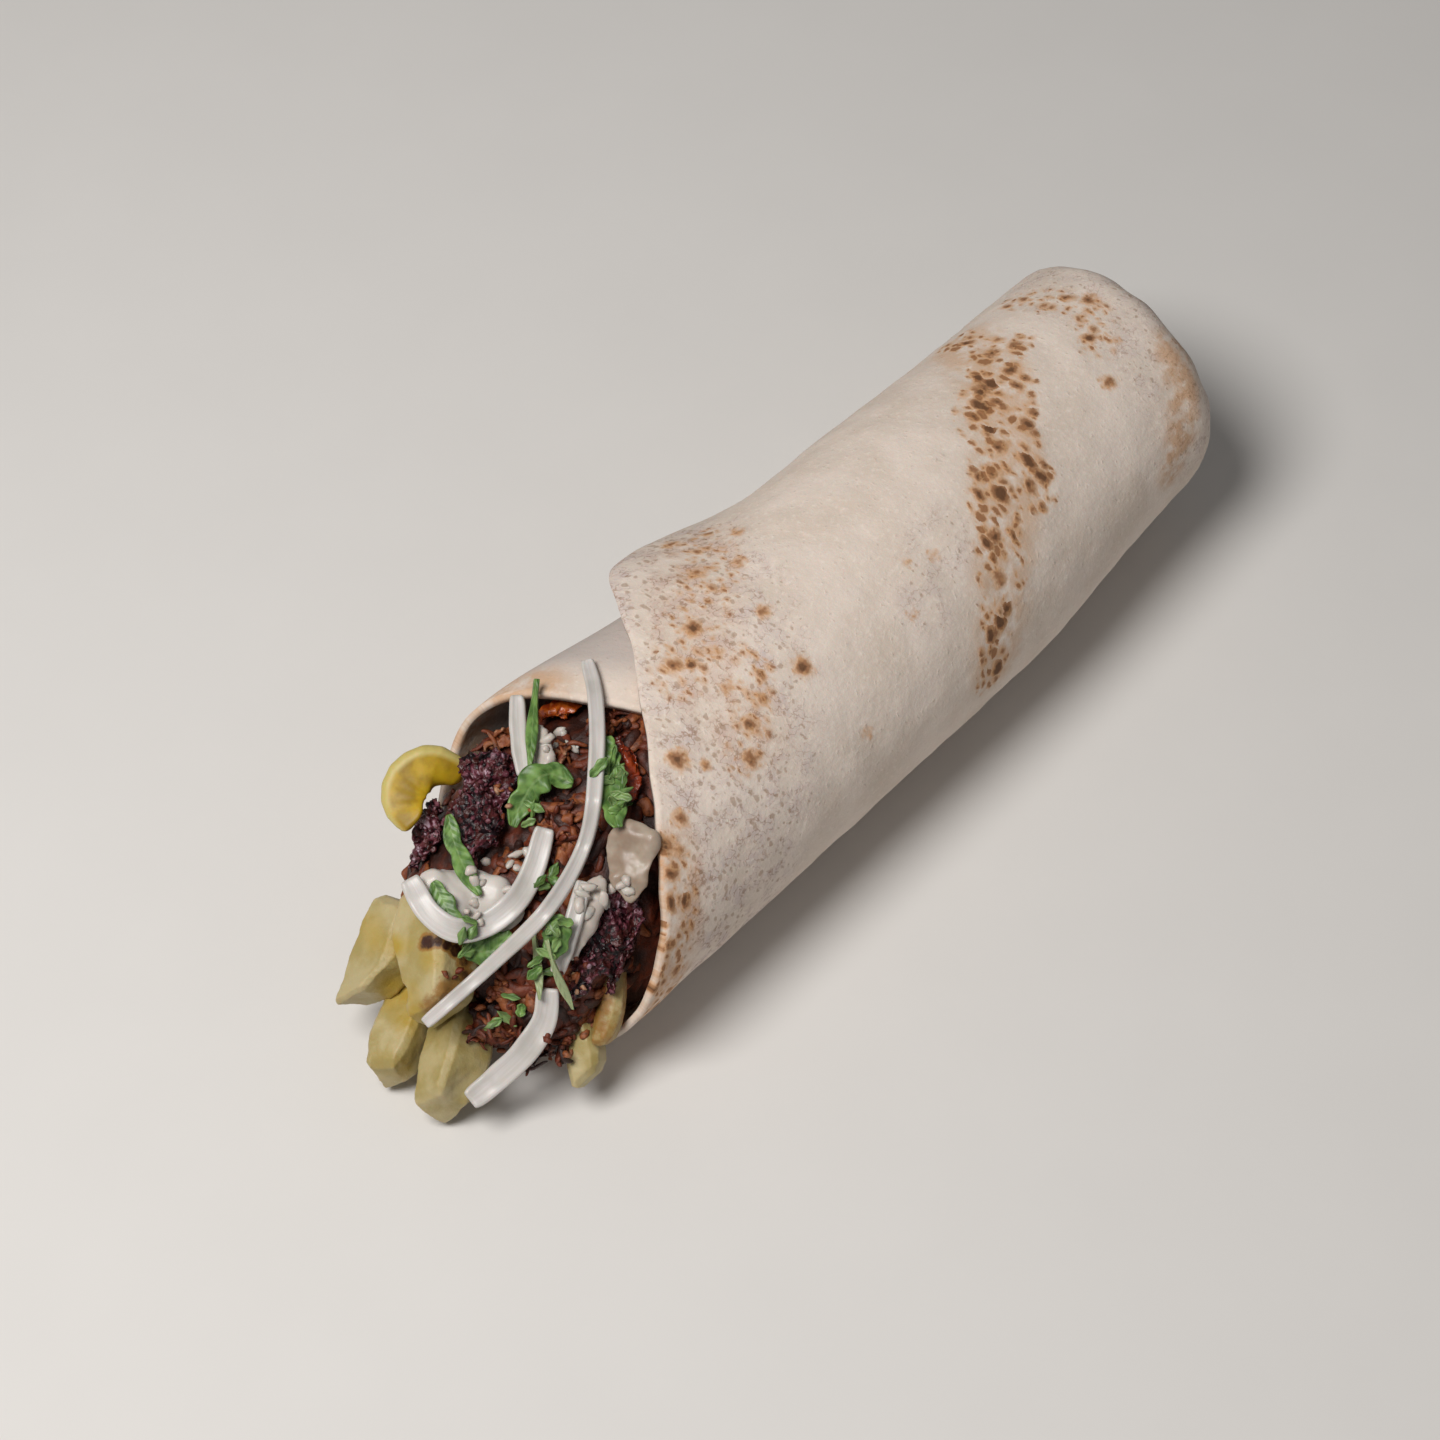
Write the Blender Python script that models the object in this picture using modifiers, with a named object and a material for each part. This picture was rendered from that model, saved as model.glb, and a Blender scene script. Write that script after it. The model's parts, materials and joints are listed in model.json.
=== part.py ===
"""Saj shawarma wrap: a thin flatbread rolled round chicken, fries, onion, herbs and garlic sauce.

The roll lies along X with its open mouth towards -X and its closed end towards +X. Sizes are in
millimetres, and MM turns them into metres.
"""
import math

import bmesh
import bpy
from mathutils import Vector, noise
from mathutils.bvhtree import BVHTree

MM = 0.001

# The flatbread: one round sheet, wound about one and a half times
BREAD_THICKNESS = 1.6
LAYER_PITCH = 2.0
OUTER_EDGE_TURN = -110
INNER_EDGE_TURN = 442
COLUMN_STEP = 12
WALL_ROWS = 12
SHOULDER_ROWS = 4
FACE_ROWS = 3
END_X = 122.5
SHOULDER_RADIUS = 10.0
END_DOME = 1.5
END_HOLE = 3.0
TUCK_HALF_SIZE = (3.4, 9.5, 6.5)
TUCK_SUNK = 1.5
HALF_WIDTHS = ((-70, 28.5), (-20, 29.0), (20, 29.3), (60, 29.3), (95, 28.2), (130, 27.6))
HEIGHT_TO_WIDTH = 0.9
MEAN_RADIUS = 29.0
RESTING_SAG = 2.6
UNEVENNESS = 0.5
UNEVENNESS_SPAN = 26.0
COVERED_FROM_TURN = 120
COVERING_SPREAD = 60

# How far the lip reaches towards the mouth at each angle, turning from the outer free edge
LIP_REACH = ((-110, 55), (-85, 32), (-62, 13), (-24, -3), (14, -19), (41, -29), (67, -36), (93, -42),
             (118, -46), (150, -53), (184, -57), (220, -53), (250, -42), (270, -34), (298, -26),
             (320, -20), (338, -16), (369, -8), (401, 3), (442, 26))

# Where the sheet stands off the roll: turn, spread in degrees, lift at the lip, length of the lift
LIFTED_LIPS = ((-62, 35, 5.0, 10.0), (300, 30, 5.0, 12.0))

# The filling: a packed core with a sloped heap in the mouth
FILLING_END_X = 111.0
FIT_GAP = 0.4
ROOM = 0.45
HEAP = ((-60, 0.32, 7.0, 0.30), (-57, 0.62, 4.0, 0.50), (-52, 0.79, 2.6, 0.65), (-45, 0.89, 2.0, 0.78),
        (-35, 0.95, 2.0, 0.89), (-25, 0.98, 2.0, 0.96), (-15, 1.0, 2.0, 1.0), (-5, 1.0, 2.0, 1.0))
HEAP_SWELL = (300, 30, 3.6, -20, -34)
LAYER_STEP_TURN = 80
LAYER_STEP_SPREAD = 30
FRONT_RIM_X = 2.0
FRONT_BLEND = 14.0
PACKED_FROM_X = 5.0
FAR_ROUNDING_FROM_X = 100.0
FAR_END_ROUNDING = 0.35
CAP_BULGE = 1.2
HEAP_STATIONS = 13
PACKED_STATIONS = 7
HEAP_RADIUS = 24.0
HEAP_RELIEF = 0.09
HEAP_RELIEF_SPAN = 7.0

# The toppings are dropped onto the heap from one point above the mouth
DROP_AZIMUTH = -49.0
DROP_ELEVATION = 53.0
DROP_DISTANCE = 700.0
DROP_TARGET = Vector((20.0, 0.0, 25.0))
LYING_GAP = 0.8
TABLE_CLEARANCE = 1.5

# Fries: name, tip and root across, up and at their height, thickness, roll about the length in degrees
FRY_TAPER = 0.8
FRY_FULLEST = 0.25
FRY_SLANT = 0.18
FRY_EDGE = 1.1
FRY_BEND = 1.2
FRY_SEGMENTS = 5
FRIES = (
    ("potato_fry_1", (-73.0, -55.0, 14.0), (-65.0, -35.0, 25.0), 9.8, 35),
    ("potato_fry_2", (-59.0, -60.0, 21.0), (-60.0, -38.0, 30.0), 10.4, 40),
    ("potato_fry_3", (-68.0, -71.5, 6.0), (-62.0, -50.0, 12.0), 9.2, 20),
    ("potato_fry_4", (-57.5, -77.0, 6.5), (-53.0, -50.0, 15.0), 9.8, 45),
    ("potato_fry_5", (-31.2, -71.0, 8.5), (-37.8, -54.0, 16.5), 6.4, 30),
    ("potato_fry_6", (-29.5, -65.0, 14.0), (-27.5, -47.0, 24.0), 4.6, 15),
)

# The curved yellow slice: across, up and height of the points along it
SLICE_PATH = ((-52.0, -15.5, 35.0), (-59.0, -12.5, 38.0), (-65.5, -15.0, 37.0), (-68.5, -20.5, 35.5),
              (-67.5, -26.0, 34.5))
SLICE_WIDTH = 8.6
SLICE_THICKNESS = 4.0
SLICE_END_SHARE = 0.55
SLICE_STATIONS = 10
SLICE_EDGE = 0.8

# Chicken: name, place, sunk by, half sizes across, up and deep, turn in degrees, roughness, seed
CHICKEN = (
    ("charred_chicken_1", (-50.0, -24.0), 0.5, (7.0, 12.5, 5.5), 8, 0.20, 1),
    ("charred_chicken_2", (-60.0, -28.5), -0.6, (4.6, 7.6, 5.0), -12, 0.22, 2),
    ("charred_chicken_3", (-29.0, -45.0), 0.5, (6.2, 12.5, 5.5), -22, 0.20, 3),
    ("glazed_chicken_1", (-37.0, -6.2), 0.2, (5.0, 4.2, 3.2), 0, 0.16, 4),
    ("glazed_chicken_2", (-25.0, -17.5), 1.0, (3.2, 9.5, 3.4), 14, 0.16, 5),
    ("chicken_shred_1", (-37.0, -14.0), 1.0, (4.2, 3.8, 3.0), 0, 0.18, 6),
    ("chicken_shred_2", (-36.5, -25.5), 1.0, (4.0, 4.6, 3.0), 20, 0.2, 7),
    ("chicken_shred_3", (-46.0, -60.0), 0.5, (11.0, 6.8, 5.0), 24, 0.24, 8),
    ("chicken_shred_4", (-42.0, -65.0), -2.4, (3.4, 4.4, 3.2), 0, 0.2, 9),
    ("chicken_shred_5", (-47.5, -11.5), -2.2, (4.4, 3.4, 2.6), 20, 0.18, 10),
    ("chicken_shred_6", (-29.5, -8.8), 0.6, (3.8, 3.6, 3.0), 0, 0.18, 11),
    ("chicken_shred_7", (-36.0, -63.0), 0.5, (3.4, 6.0, 3.6), 0, 0.2, 12),
)

# Garlic sauce: name, place, half sizes across and up, thickness, turn in degrees
SAUCE = (
    ("garlic_sauce_1", (-24.5, -31.5), (4.6, 6.0), 3.4, 0),
    ("garlic_sauce_2", (-52.5, -39.6), (8.4, 4.9), 3.0, -12),
    ("garlic_sauce_3", (-41.5, -13.0), (2.6, 5.6), 1.6, 10),
    ("garlic_sauce_4", (-33.0, -42.0), (2.4, 7.6), 1.8, -16),
)

# Onion strips: name, points across and up, width, thickness
ONIONS = (
    ("onion_strip_1", ((-45.5, -2.5), (-45.0, -10.0), (-44.0, -17.0)), 3.6, 1.7),
    ("onion_strip_2", ((-33.0, -35.5), (-35.0, -44.0), (-37.5, -52.0)), 3.4, 1.6),
    ("onion_strip_3", ((-39.0, -54.5), (-40.0, -60.5), (-44.0, -66.0), (-49.5, -70.5), (-54.5, -75.0)),
     4.8, 1.8),
    ("onion_strip_4", ((-40.0, -26.0), (-42.0, -33.0), (-45.0, -39.5), (-50.0, -44.0), (-56.5, -44.5),
                       (-62.0, -40.5), (-66.0, -35.0)), 4.6, 1.8),
    ("onion_strip_5", ((-33.0, 4.0), (-31.5, -2.5), (-31.0, -13.5), (-32.5, -27.5), (-38.5, -39.5),
                       (-48.5, -50.0), (-61.0, -61.5)), 3.4, 1.9),
)
LOWER_ONIONS = 3

# Herbs: name, points across and up, greatest width, thickness, whether pointed like a leaf, curl
HERBS = (
    ("parsley_stem_1", ((-42.0, 0.5), (-42.6, -8.0), (-43.0, -15.5)), 2.0, 0.9, False, 0.0),
    ("parsley_leaf_1", ((-35.0, -18.0), (-40.0, -16.5), (-43.5, -20.0), (-46.0, -26.0)), 5.0, 0.8, True, 1.0),
    ("parsley_leaf_2", ((-29.5, -9.5), (-28.8, -17.0), (-27.0, -26.0)), 5.6, 0.8, True, 1.0),
    ("parsley_leaf_3", ((-57.5, -24.0), (-55.5, -31.0), (-51.5, -38.5)), 4.0, 0.8, True, 0.6),
    ("parsley_leaf_4", ((-60.0, -36.0), (-57.5, -40.5), (-55.0, -46.0)), 4.0, 0.8, True, 0.5),
    ("parsley_leaf_5", ((-54.5, -47.0), (-50.0, -48.5), (-45.5, -45.0)), 5.2, 0.8, True, 0.8),
    ("parsley_leaf_6", ((-38.0, -41.5), (-37.5, -45.0), (-38.5, -49.5)), 5.4, 0.8, True, 0.8),
    ("parsley_stem_2", ((-42.0, -43.5), (-41.0, -50.0), (-40.5, -57.0)), 1.6, 0.9, False, 0.0),
    ("parsley_stem_3", ((-39.5, -46.0), (-37.5, -52.0), (-34.5, -58.5)), 1.3, 0.8, False, 0.0),
)
RIBBON_STEP = 3.2
RIBBON_SLOPE = 0.65
RIBBON_CROWN = 0.25
STRIP_END_SHARE = 0.72
LEAF_END_SHARE = 0.25
LEAF_WAVES = 9.0
PROBE_REACH = 1.6
PROBES = 8
SHARP_EDGE = math.radians(50)
SMOOTH_BELOW = math.radians(40)

BREAD_LOOK = ("baked_flatbread", (0.62, 0.50, 0.40), 0.75)
FILLING_LOOK = ("packed_filling", (0.20, 0.07, 0.03), 0.6)
FRY_LOOK = ("fried_potato", (0.55, 0.44, 0.15), 0.5)
SLICE_LOOK = ("yellow_slice", (0.55, 0.38, 0.05), 0.45)
CHAR_LOOK = ("charred_meat", (0.06, 0.02, 0.02), 0.45)
GLAZE_LOOK = ("glazed_meat", (0.30, 0.07, 0.02), 0.4)
SHRED_LOOK = ("roast_meat", (0.20, 0.07, 0.03), 0.55)
SAUCE_LOOK = ("garlic_sauce", (0.62, 0.52, 0.44), 0.35)
ONION_LOOK = ("raw_onion", (0.55, 0.58, 0.48), 0.35)
HERB_LOOK = ("fresh_herb", (0.12, 0.22, 0.05), 0.5)


def clear_scene():
    for thing in list(bpy.data.objects):
        bpy.data.objects.remove(thing, do_unlink=True)


def new_collection(name):
    group = bpy.data.collections.new(name)
    bpy.context.scene.collection.children.link(group)
    return group


def curve_value(points, at):
    """A smooth curve through (position, value) points, held flat beyond both ends."""
    last = len(points) - 1
    if at <= points[0][0]:
        return points[0][1]
    if at >= points[last][0]:
        return points[last][1]
    i = max(k for k in range(last) if points[k][0] <= at)

    def slope(k):
        low, high = max(k - 1, 0), min(k + 1, last)
        return (points[high][1] - points[low][1]) / (points[high][0] - points[low][0])

    span = points[i + 1][0] - points[i][0]
    t = (at - points[i][0]) / span
    return ((2 * t ** 3 - 3 * t ** 2 + 1) * points[i][1] + (t ** 3 - 2 * t ** 2 + t) * span * slope(i)
            + (3 * t ** 2 - 2 * t ** 3) * points[i + 1][1] + (t ** 3 - t ** 2) * span * slope(i + 1))


def clamp(value):
    return min(max(value, 0.0), 1.0)


def half_width(x):
    return curve_value(HALF_WIDTHS, x)


def half_height(x):
    return half_width(x) * HEIGHT_TO_WIDTH


def layer_depth(turn):
    return LAYER_PITCH * (turn - OUTER_EDGE_TURN) / 360


def flap_lift(turn, past_lip):
    return sum(lift * math.exp(-((turn - middle) / spread) ** 2 - past_lip / length)
               for middle, spread, lift, length in LIFTED_LIPS)


def sheet_unevenness(x, turn):
    """Gentle outward swell of the outermost turn, none where the sheet lies under another layer."""
    shown = clamp((COVERED_FROM_TURN - turn) / COVERING_SPREAD)
    angle = math.radians(turn)
    at = Vector((x, MEAN_RADIUS * math.cos(angle), MEAN_RADIUS * math.sin(angle))) / UNEVENNESS_SPAN
    return UNEVENNESS * shown * (0.5 + 0.5 * noise.noise(at))


def sheet_point(turn, along):
    """The sheet's outer face: turn in degrees, along from 0 at the lip to 1 at the end's middle."""
    rows = WALL_ROWS + SHOULDER_ROWS + FACE_ROWS
    row = along * rows
    depth = layer_depth(turn)
    shoulder_x = END_X - SHOULDER_RADIUS
    lip = curve_value(LIP_REACH, turn)
    if row <= WALL_ROWS:
        x = lip + (shoulder_x - lip) * row / WALL_ROWS
        inset = depth - flap_lift(turn, x - lip) - sheet_unevenness(x, turn)
    elif row <= WALL_ROWS + SHOULDER_ROWS:
        bend = math.radians(90) * (row - WALL_ROWS) / SHOULDER_ROWS
        radius = SHOULDER_RADIUS - depth
        x = shoulder_x + radius * math.sin(bend)
        inset = SHOULDER_RADIUS - radius * math.cos(bend)
    else:
        part = (row - WALL_ROWS - SHOULDER_ROWS) / FACE_ROWS
        deepest = half_height(END_X) - END_HOLE
        inset = SHOULDER_RADIUS + (deepest - SHOULDER_RADIUS) * part
        x = END_X - depth + END_DOME * (1 - (1 - part) ** 2)
    angle = math.radians(turn)
    y = -(half_width(x) - inset) * math.sin(angle)
    z = half_height(x) - RESTING_SAG + (half_height(x) - inset) * math.cos(angle)
    return Vector((x, y, max(z, 0.0)))


def add_object(name, bm, look, group):
    mesh = bpy.data.meshes.new(name)
    bmesh.ops.scale(bm, vec=(MM, MM, MM), verts=bm.verts)
    bm.to_mesh(mesh)
    bm.free()
    thing = bpy.data.objects.new(name, mesh)
    group.objects.link(thing)
    mesh.shade_smooth()
    mesh.set_sharp_from_angle(angle=SMOOTH_BELOW)
    material = bpy.data.materials.new(look[0])
    material.use_nodes = True
    shader = material.node_tree.nodes["Principled BSDF"]
    shader.inputs["Base Color"].default_value = (*look[1], 1.0)
    shader.inputs["Roughness"].default_value = look[2]
    mesh.materials.append(material)
    return thing


def add_cutter(name, bm, look, group):
    cutter = add_object(name, bm, look, group)
    cutter.hide_render = True
    cutter.display_type = "WIRE"
    return cutter


def add_boolean(thing, operation, other, solver="EXACT"):
    modifier = thing.modifiers.new(operation.lower(), "BOOLEAN")
    modifier.operation = operation
    modifier.solver = solver
    modifier.object = other


def add_thickness(thing, thickness, offset):
    shell = thing.modifiers.new("thickness", "SOLIDIFY")
    shell.thickness = thickness * MM
    shell.offset = offset
    return shell


def face_outwards(bm):
    bm.normal_update()
    bmesh.ops.recalc_face_normals(bm, faces=bm.faces)


def unit_grid(columns, rows):
    """A flat grid whose corners are at -1 and 1."""
    bm = bmesh.new()
    bmesh.ops.create_grid(bm, x_segments=columns, y_segments=rows, size=1.0)
    return bm


def build_bread(group, cutters):
    """The sheet wound round the filling, tucked shut where it closes over the far end."""
    columns = round((INNER_EDGE_TURN - OUTER_EDGE_TURN) / COLUMN_STEP)
    bm = unit_grid(columns, WALL_ROWS + SHOULDER_ROWS + FACE_ROWS)
    for v in bm.verts:
        turn = OUTER_EDGE_TURN + (v.co.x + 1) / 2 * (INNER_EDGE_TURN - OUTER_EDGE_TURN)
        v.co = sheet_point(turn, (v.co.y + 1) / 2)
    bmesh.ops.triangulate(bm, faces=bm.faces)
    bread = add_object("saj_bread", bm, BREAD_LOOK, group)
    add_thickness(bread, BREAD_THICKNESS, -1)
    bm = bmesh.new()
    bmesh.ops.create_uvsphere(bm, u_segments=16, v_segments=8, radius=1.0)
    for v in bm.verts:
        v.co = Vector((v.co.x * TUCK_HALF_SIZE[0] + END_X - TUCK_SUNK, v.co.y * TUCK_HALF_SIZE[1],
                       v.co.z * TUCK_HALF_SIZE[2] + half_height(END_X) - RESTING_SAG))
    tuck = add_cutter("end_tuck", bm, BREAD_LOOK, cutters)
    add_boolean(bread, "UNION", tuck)
    return bread


def filling_depth(angle):
    """How far the filling stays inside the roll's outline, from the sheet's own inner turn."""
    turn = angle % 360
    doubled = layer_depth(INNER_EDGE_TURN) + BREAD_THICKNESS + FIT_GAP
    single = layer_depth(turn) + BREAD_THICKNESS + FIT_GAP
    return doubled + (single - doubled) * clamp((turn - LAYER_STEP_TURN) / LAYER_STEP_SPREAD)


def heap_value(x, column):
    return curve_value([(row[0], row[column]) for row in HEAP], x)


def filling_station(latitude):
    """X of a ring of the filling: closely spaced in the heap, widely inside the roll."""
    steps = HEAP_STATIONS + PACKED_STATIONS
    step = (latitude + 90) / 180 * steps
    if step <= HEAP_STATIONS:
        return HEAP[0][0] + (PACKED_FROM_X - HEAP[0][0]) * step / HEAP_STATIONS
    return PACKED_FROM_X + (FILLING_END_X - PACKED_FROM_X) * (step - HEAP_STATIONS) / PACKED_STATIONS


def heap_swell(x, angle):
    """The heap leans out over the lifted lip on its far side."""
    middle, spread, swell, start, full = HEAP_SWELL
    bump = math.exp(-((angle % 360 - middle) / spread) ** 2)
    return swell * bump * clamp((start - x) / (start - full))


def filling_point(x, angle):
    """A point of the filling's skin, inside the bread where there is bread, sloping in the mouth."""
    turned = math.radians(angle)
    middle = half_height(x) - RESTING_SAG
    floor = BREAD_THICKNESS + FIT_GAP
    depth = filling_depth(angle) - heap_swell(x, angle)
    loose = clamp((FRONT_RIM_X - x) / FRONT_BLEND)
    far = clamp((x - FAR_ROUNDING_FROM_X) / (FILLING_END_X - FAR_ROUNDING_FROM_X))
    at = Vector((x, HEAP_RADIUS * math.sin(turned), HEAP_RADIUS * math.cos(turned))) / HEAP_RELIEF_SPAN
    crag = clamp(noise.noise(at) + 0.5)
    slack = 1 - HEAP_RELIEF * loose * crag - FAR_END_ROUNDING * far ** 2
    across = -(half_width(x) - depth) * math.sin(turned) * heap_value(x, 1) * slack
    up = max(middle + (half_height(x) - depth) * math.cos(turned) * slack, floor)
    return Vector((x, across, heap_value(x, 2) + (up - floor) * heap_value(x, 3)))


def filling_mesh(grow):
    """The filling as one closed skin. Grown, it is the room that other pieces leave for it."""
    bm = bmesh.new()
    bmesh.ops.create_uvsphere(bm, u_segments=30, v_segments=HEAP_STATIONS + PACKED_STATIONS, radius=1.0)
    for v in bm.verts:
        x = filling_station(math.degrees(math.asin(min(max(v.co.z, -1), 1))))
        top, bottom = filling_point(x, 0), filling_point(x, 180)
        centre = (top + bottom) / 2
        end = 1 if x > FILLING_END_X - 1 else -1 if x < HEAP[0][0] + 1 else 0
        if abs(v.co.z) > 0.9999:
            v.co = centre + Vector((end * (CAP_BULGE + grow), 0, 0))
        else:
            skin = filling_point(x, math.degrees(math.atan2(v.co.y, v.co.x)))
            front = -grow if x < FRONT_RIM_X else 0.0
            v.co = skin + (skin - centre).normalized() * grow + Vector((front, 0, 0))
    face_outwards(bm)
    return bm


def drop_axes():
    """The dropping direction's own axes: across, up, and back towards the starting point."""
    azimuth, elevation = math.radians(DROP_AZIMUTH), math.radians(DROP_ELEVATION)
    back = Vector((math.sin(azimuth) * math.cos(elevation), -math.cos(azimuth) * math.cos(elevation),
                   math.sin(elevation)))
    across = Vector((math.cos(azimuth), math.sin(azimuth), 0.0))
    return across, back.cross(across), back


ACROSS, UP, BACK = drop_axes()
DROP_POINT = DROP_TARGET + BACK * DROP_DISTANCE


def drop_direction(place):
    goal = DROP_TARGET + ACROSS * place[0] + UP * place[1]
    return (goal - DROP_POINT).normalized()


def place_at_height(place, height):
    down = drop_direction(place)
    return DROP_POINT + down * ((height - DROP_POINT.z) / down.z)


class Pile:
    """Everything laid so far, as one surface that the next piece drops onto."""

    def __init__(self):
        self.trees = []

    def add(self, thing):
        bpy.context.view_layer.update()
        graph = bpy.context.evaluated_depsgraph_get()
        self.trees.append(BVHTree.FromObject(thing, graph))

    def distance(self, place):
        """Millimetres from the drop point down to the first thing met, or to just above the table."""
        down = drop_direction(place)
        nearest = (TABLE_CLEARANCE - DROP_POINT.z) / down.z
        for tree in self.trees:
            hit = tree.ray_cast(DROP_POINT * MM, down)
            if hit[0] is not None:
                nearest = min(nearest, hit[3] / MM)
        return nearest

    def drape(self, places, slope):
        """Distances for a flexible piece: it bridges hollows and never dips below what it lies on."""
        turns = [math.tau * k / PROBES for k in range(PROBES)]
        around = [(0, 0)] + [(PROBE_REACH * math.cos(turn), PROBE_REACH * math.sin(turn)) for turn in turns]
        raw = [min(self.distance((a + da, b + db)) for da, db in around) for a, b in places]
        return [min(r + slope * math.hypot(a - c, b - d) for (c, d), r in zip(places, raw)) - LYING_GAP
                for a, b in places]


def rough_lump(centre, sizes, turn, roughness, seed):
    """A torn lump of meat: a ball stretched, turned and broken up into crags."""
    bm = bmesh.new()
    bmesh.ops.create_icosphere(bm, subdivisions=3, radius=1.0)
    turned = math.radians(turn)
    for v in bm.verts:
        crag = noise.turbulence(v.co * 1.7 + Vector((seed * 7.3, seed * 3.1, seed)), 3, False)
        shape = v.co * (1 + roughness * (crag * 2 - 0.6))
        a, b, c = (shape[i] * sizes[i] for i in range(3))
        v.co = centre + ACROSS * (a * math.cos(turned) - b * math.sin(turned)) \
            + UP * (a * math.sin(turned) + b * math.cos(turned)) + BACK * c
    return bm


def long_bar(cuts):
    """A square bar from -1 to 1 along X, cut across into even lengths."""
    bm = bmesh.new()
    bmesh.ops.create_cube(bm, size=2.0)
    long_edges = [e for e in bm.edges if abs(e.verts[0].co.x - e.verts[1].co.x) > 1]
    bmesh.ops.subdivide_edges(bm, edges=long_edges, cuts=cuts, use_grid_fill=True)
    return bm


def bevel_sharp_edges(bm, offset):
    face_outwards(bm)
    edges = [e for e in bm.edges if e.calc_face_angle(0) > SHARP_EDGE]
    bmesh.ops.bevel(bm, geom=edges, offset=offset, segments=1, profile=0.5, affect="EDGES", material=-1)


def fry_mesh(tip, root, thickness, roll, grow):
    """A square-cut fry with blunt uneven ends, slightly bent, its tip at the named point."""
    bm = long_bar(FRY_SEGMENTS)
    along, length = (root - tip).normalized(), (root - tip).length
    side = along.cross(Vector((0, 0, 1))).normalized()
    over = side.cross(along)
    turned = math.radians(roll)
    across_one = side * math.cos(turned) + over * math.sin(turned)
    across_two = over * math.cos(turned) - side * math.sin(turned)
    for v in bm.verts:
        t = (v.co.x + 1) / 2
        full = FRY_TAPER + (1 - FRY_TAPER) * math.sin(math.pi * min(t + FRY_FULLEST, 1))
        half = thickness * full / 2 + grow
        slant = FRY_SLANT * thickness * v.co.y * (1 - t)
        bend = FRY_BEND * math.sin(math.pi * t)
        reach = t * length + slant + (grow if t > 0.5 else -grow)
        v.co = tip + along * reach + across_one * (v.co.y * half + bend) + across_two * (v.co.z * half)
    bevel_sharp_edges(bm, FRY_EDGE)
    return bm


def smooth_path(points, count):
    """Evenly numbered stations on a smooth curve through the points."""
    last = len(points) - 1
    tables = [[(i, p[k]) for i, p in enumerate(points)] for k in range(len(points[0]))]
    return [tuple(curve_value(table, last * i / count) for table in tables) for i in range(count + 1)]


def slice_mesh(grow):
    """A curved wedge: a bar bent along the path, thicker along its outer side."""
    centres = [place_at_height((a, b), z) for a, b, z in smooth_path(SLICE_PATH, SLICE_STATIONS)]
    bm = long_bar(SLICE_STATIONS - 1)
    for v in bm.verts:
        i = round((v.co.x + 1) / 2 * SLICE_STATIONS)
        before, after = centres[max(i - 1, 0)], centres[min(i + 1, SLICE_STATIONS)]
        ahead = (after - before).normalized()
        side = BACK.cross(ahead).normalized()
        full = SLICE_END_SHARE + (1 - SLICE_END_SHARE) * math.sin(math.pi * i / SLICE_STATIONS)
        half = SLICE_WIDTH / 2 * full + grow
        deep = SLICE_THICKNESS / 2 * full + grow
        end = grow * (1 if v.co.x > 0.99 else -1 if v.co.x < -0.99 else 0)
        v.co = centres[i] + side * (v.co.y * half) + BACK * (v.co.z * deep) + ahead * end
    bevel_sharp_edges(bm, SLICE_EDGE)
    return bm


def ribbon_share(t, pointed):
    """Share of its greatest width that a strip or leaf has, from one end to the other."""
    if pointed:
        return LEAF_END_SHARE + (1 - LEAF_END_SHARE) * math.sin(math.pi * (0.08 + 0.84 * t)) ** 0.8
    return STRIP_END_SHARE + (1 - STRIP_END_SHARE) * math.sin(math.pi * t) ** 0.5


def ribbon_mesh(pile, points, width, pointed, curl):
    """A strip or leaf laid along its path, open until it gets its thickness."""
    length = sum(math.dist(one, two) for one, two in zip(points, points[1:]))
    steps = max(round(length / RIBBON_STEP), 5)
    stations = smooth_path(points, steps)
    bm = unit_grid(steps, 2)
    verts = list(bm.verts)
    places, lifts = [], []
    for v in verts:
        i = round((v.co.x + 1) / 2 * steps)
        t = i / steps
        before, after = stations[max(i - 1, 0)], stations[min(i + 1, steps)]
        da, db = after[0] - before[0], after[1] - before[1]
        size = math.hypot(da, db)
        offset = v.co.y * width / 2 * ribbon_share(t, pointed)
        places.append((stations[i][0] - db / size * offset, stations[i][1] + da / size * offset))
        wave = 0.5 + 0.5 * math.sin(t * LEAF_WAVES + v.co.y * 1.4)
        lifts.append(curl * wave + RIBBON_CROWN * (1 - abs(v.co.y)))
    distances = pile.drape(places, RIBBON_SLOPE)
    for v, place, distance, lift in zip(verts, places, distances, lifts):
        v.co = DROP_POINT + drop_direction(place) * (distance - lift)
    bmesh.ops.triangulate(bm, faces=bm.faces)
    return bm


def sauce_mesh(pile, place, sizes, thickness, turn):
    """A spooned blob: flat where it lies on the filling, domed above."""
    bm = bmesh.new()
    bmesh.ops.create_uvsphere(bm, u_segments=14, v_segments=8, radius=1.0)
    verts = list(bm.verts)
    turned = math.radians(turn)
    places = []
    for v in verts:
        spread = 1 + 0.16 * noise.noise(Vector((v.co.x, v.co.y, place[0])) * 1.6)
        a, b = v.co.x * sizes[0] * spread, v.co.y * sizes[1] * spread
        places.append((place[0] + a * math.cos(turned) - b * math.sin(turned),
                       place[1] + a * math.sin(turned) + b * math.cos(turned)))
    distances = pile.drape(places, RIBBON_SLOPE)
    for v, at, distance in zip(verts, places, distances):
        rise = 0.5 + max(v.co.z, 0) * thickness + 0.5 * min(v.co.z, 0)
        v.co = DROP_POINT + drop_direction(at) * (distance - rise)
    return bm


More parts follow.
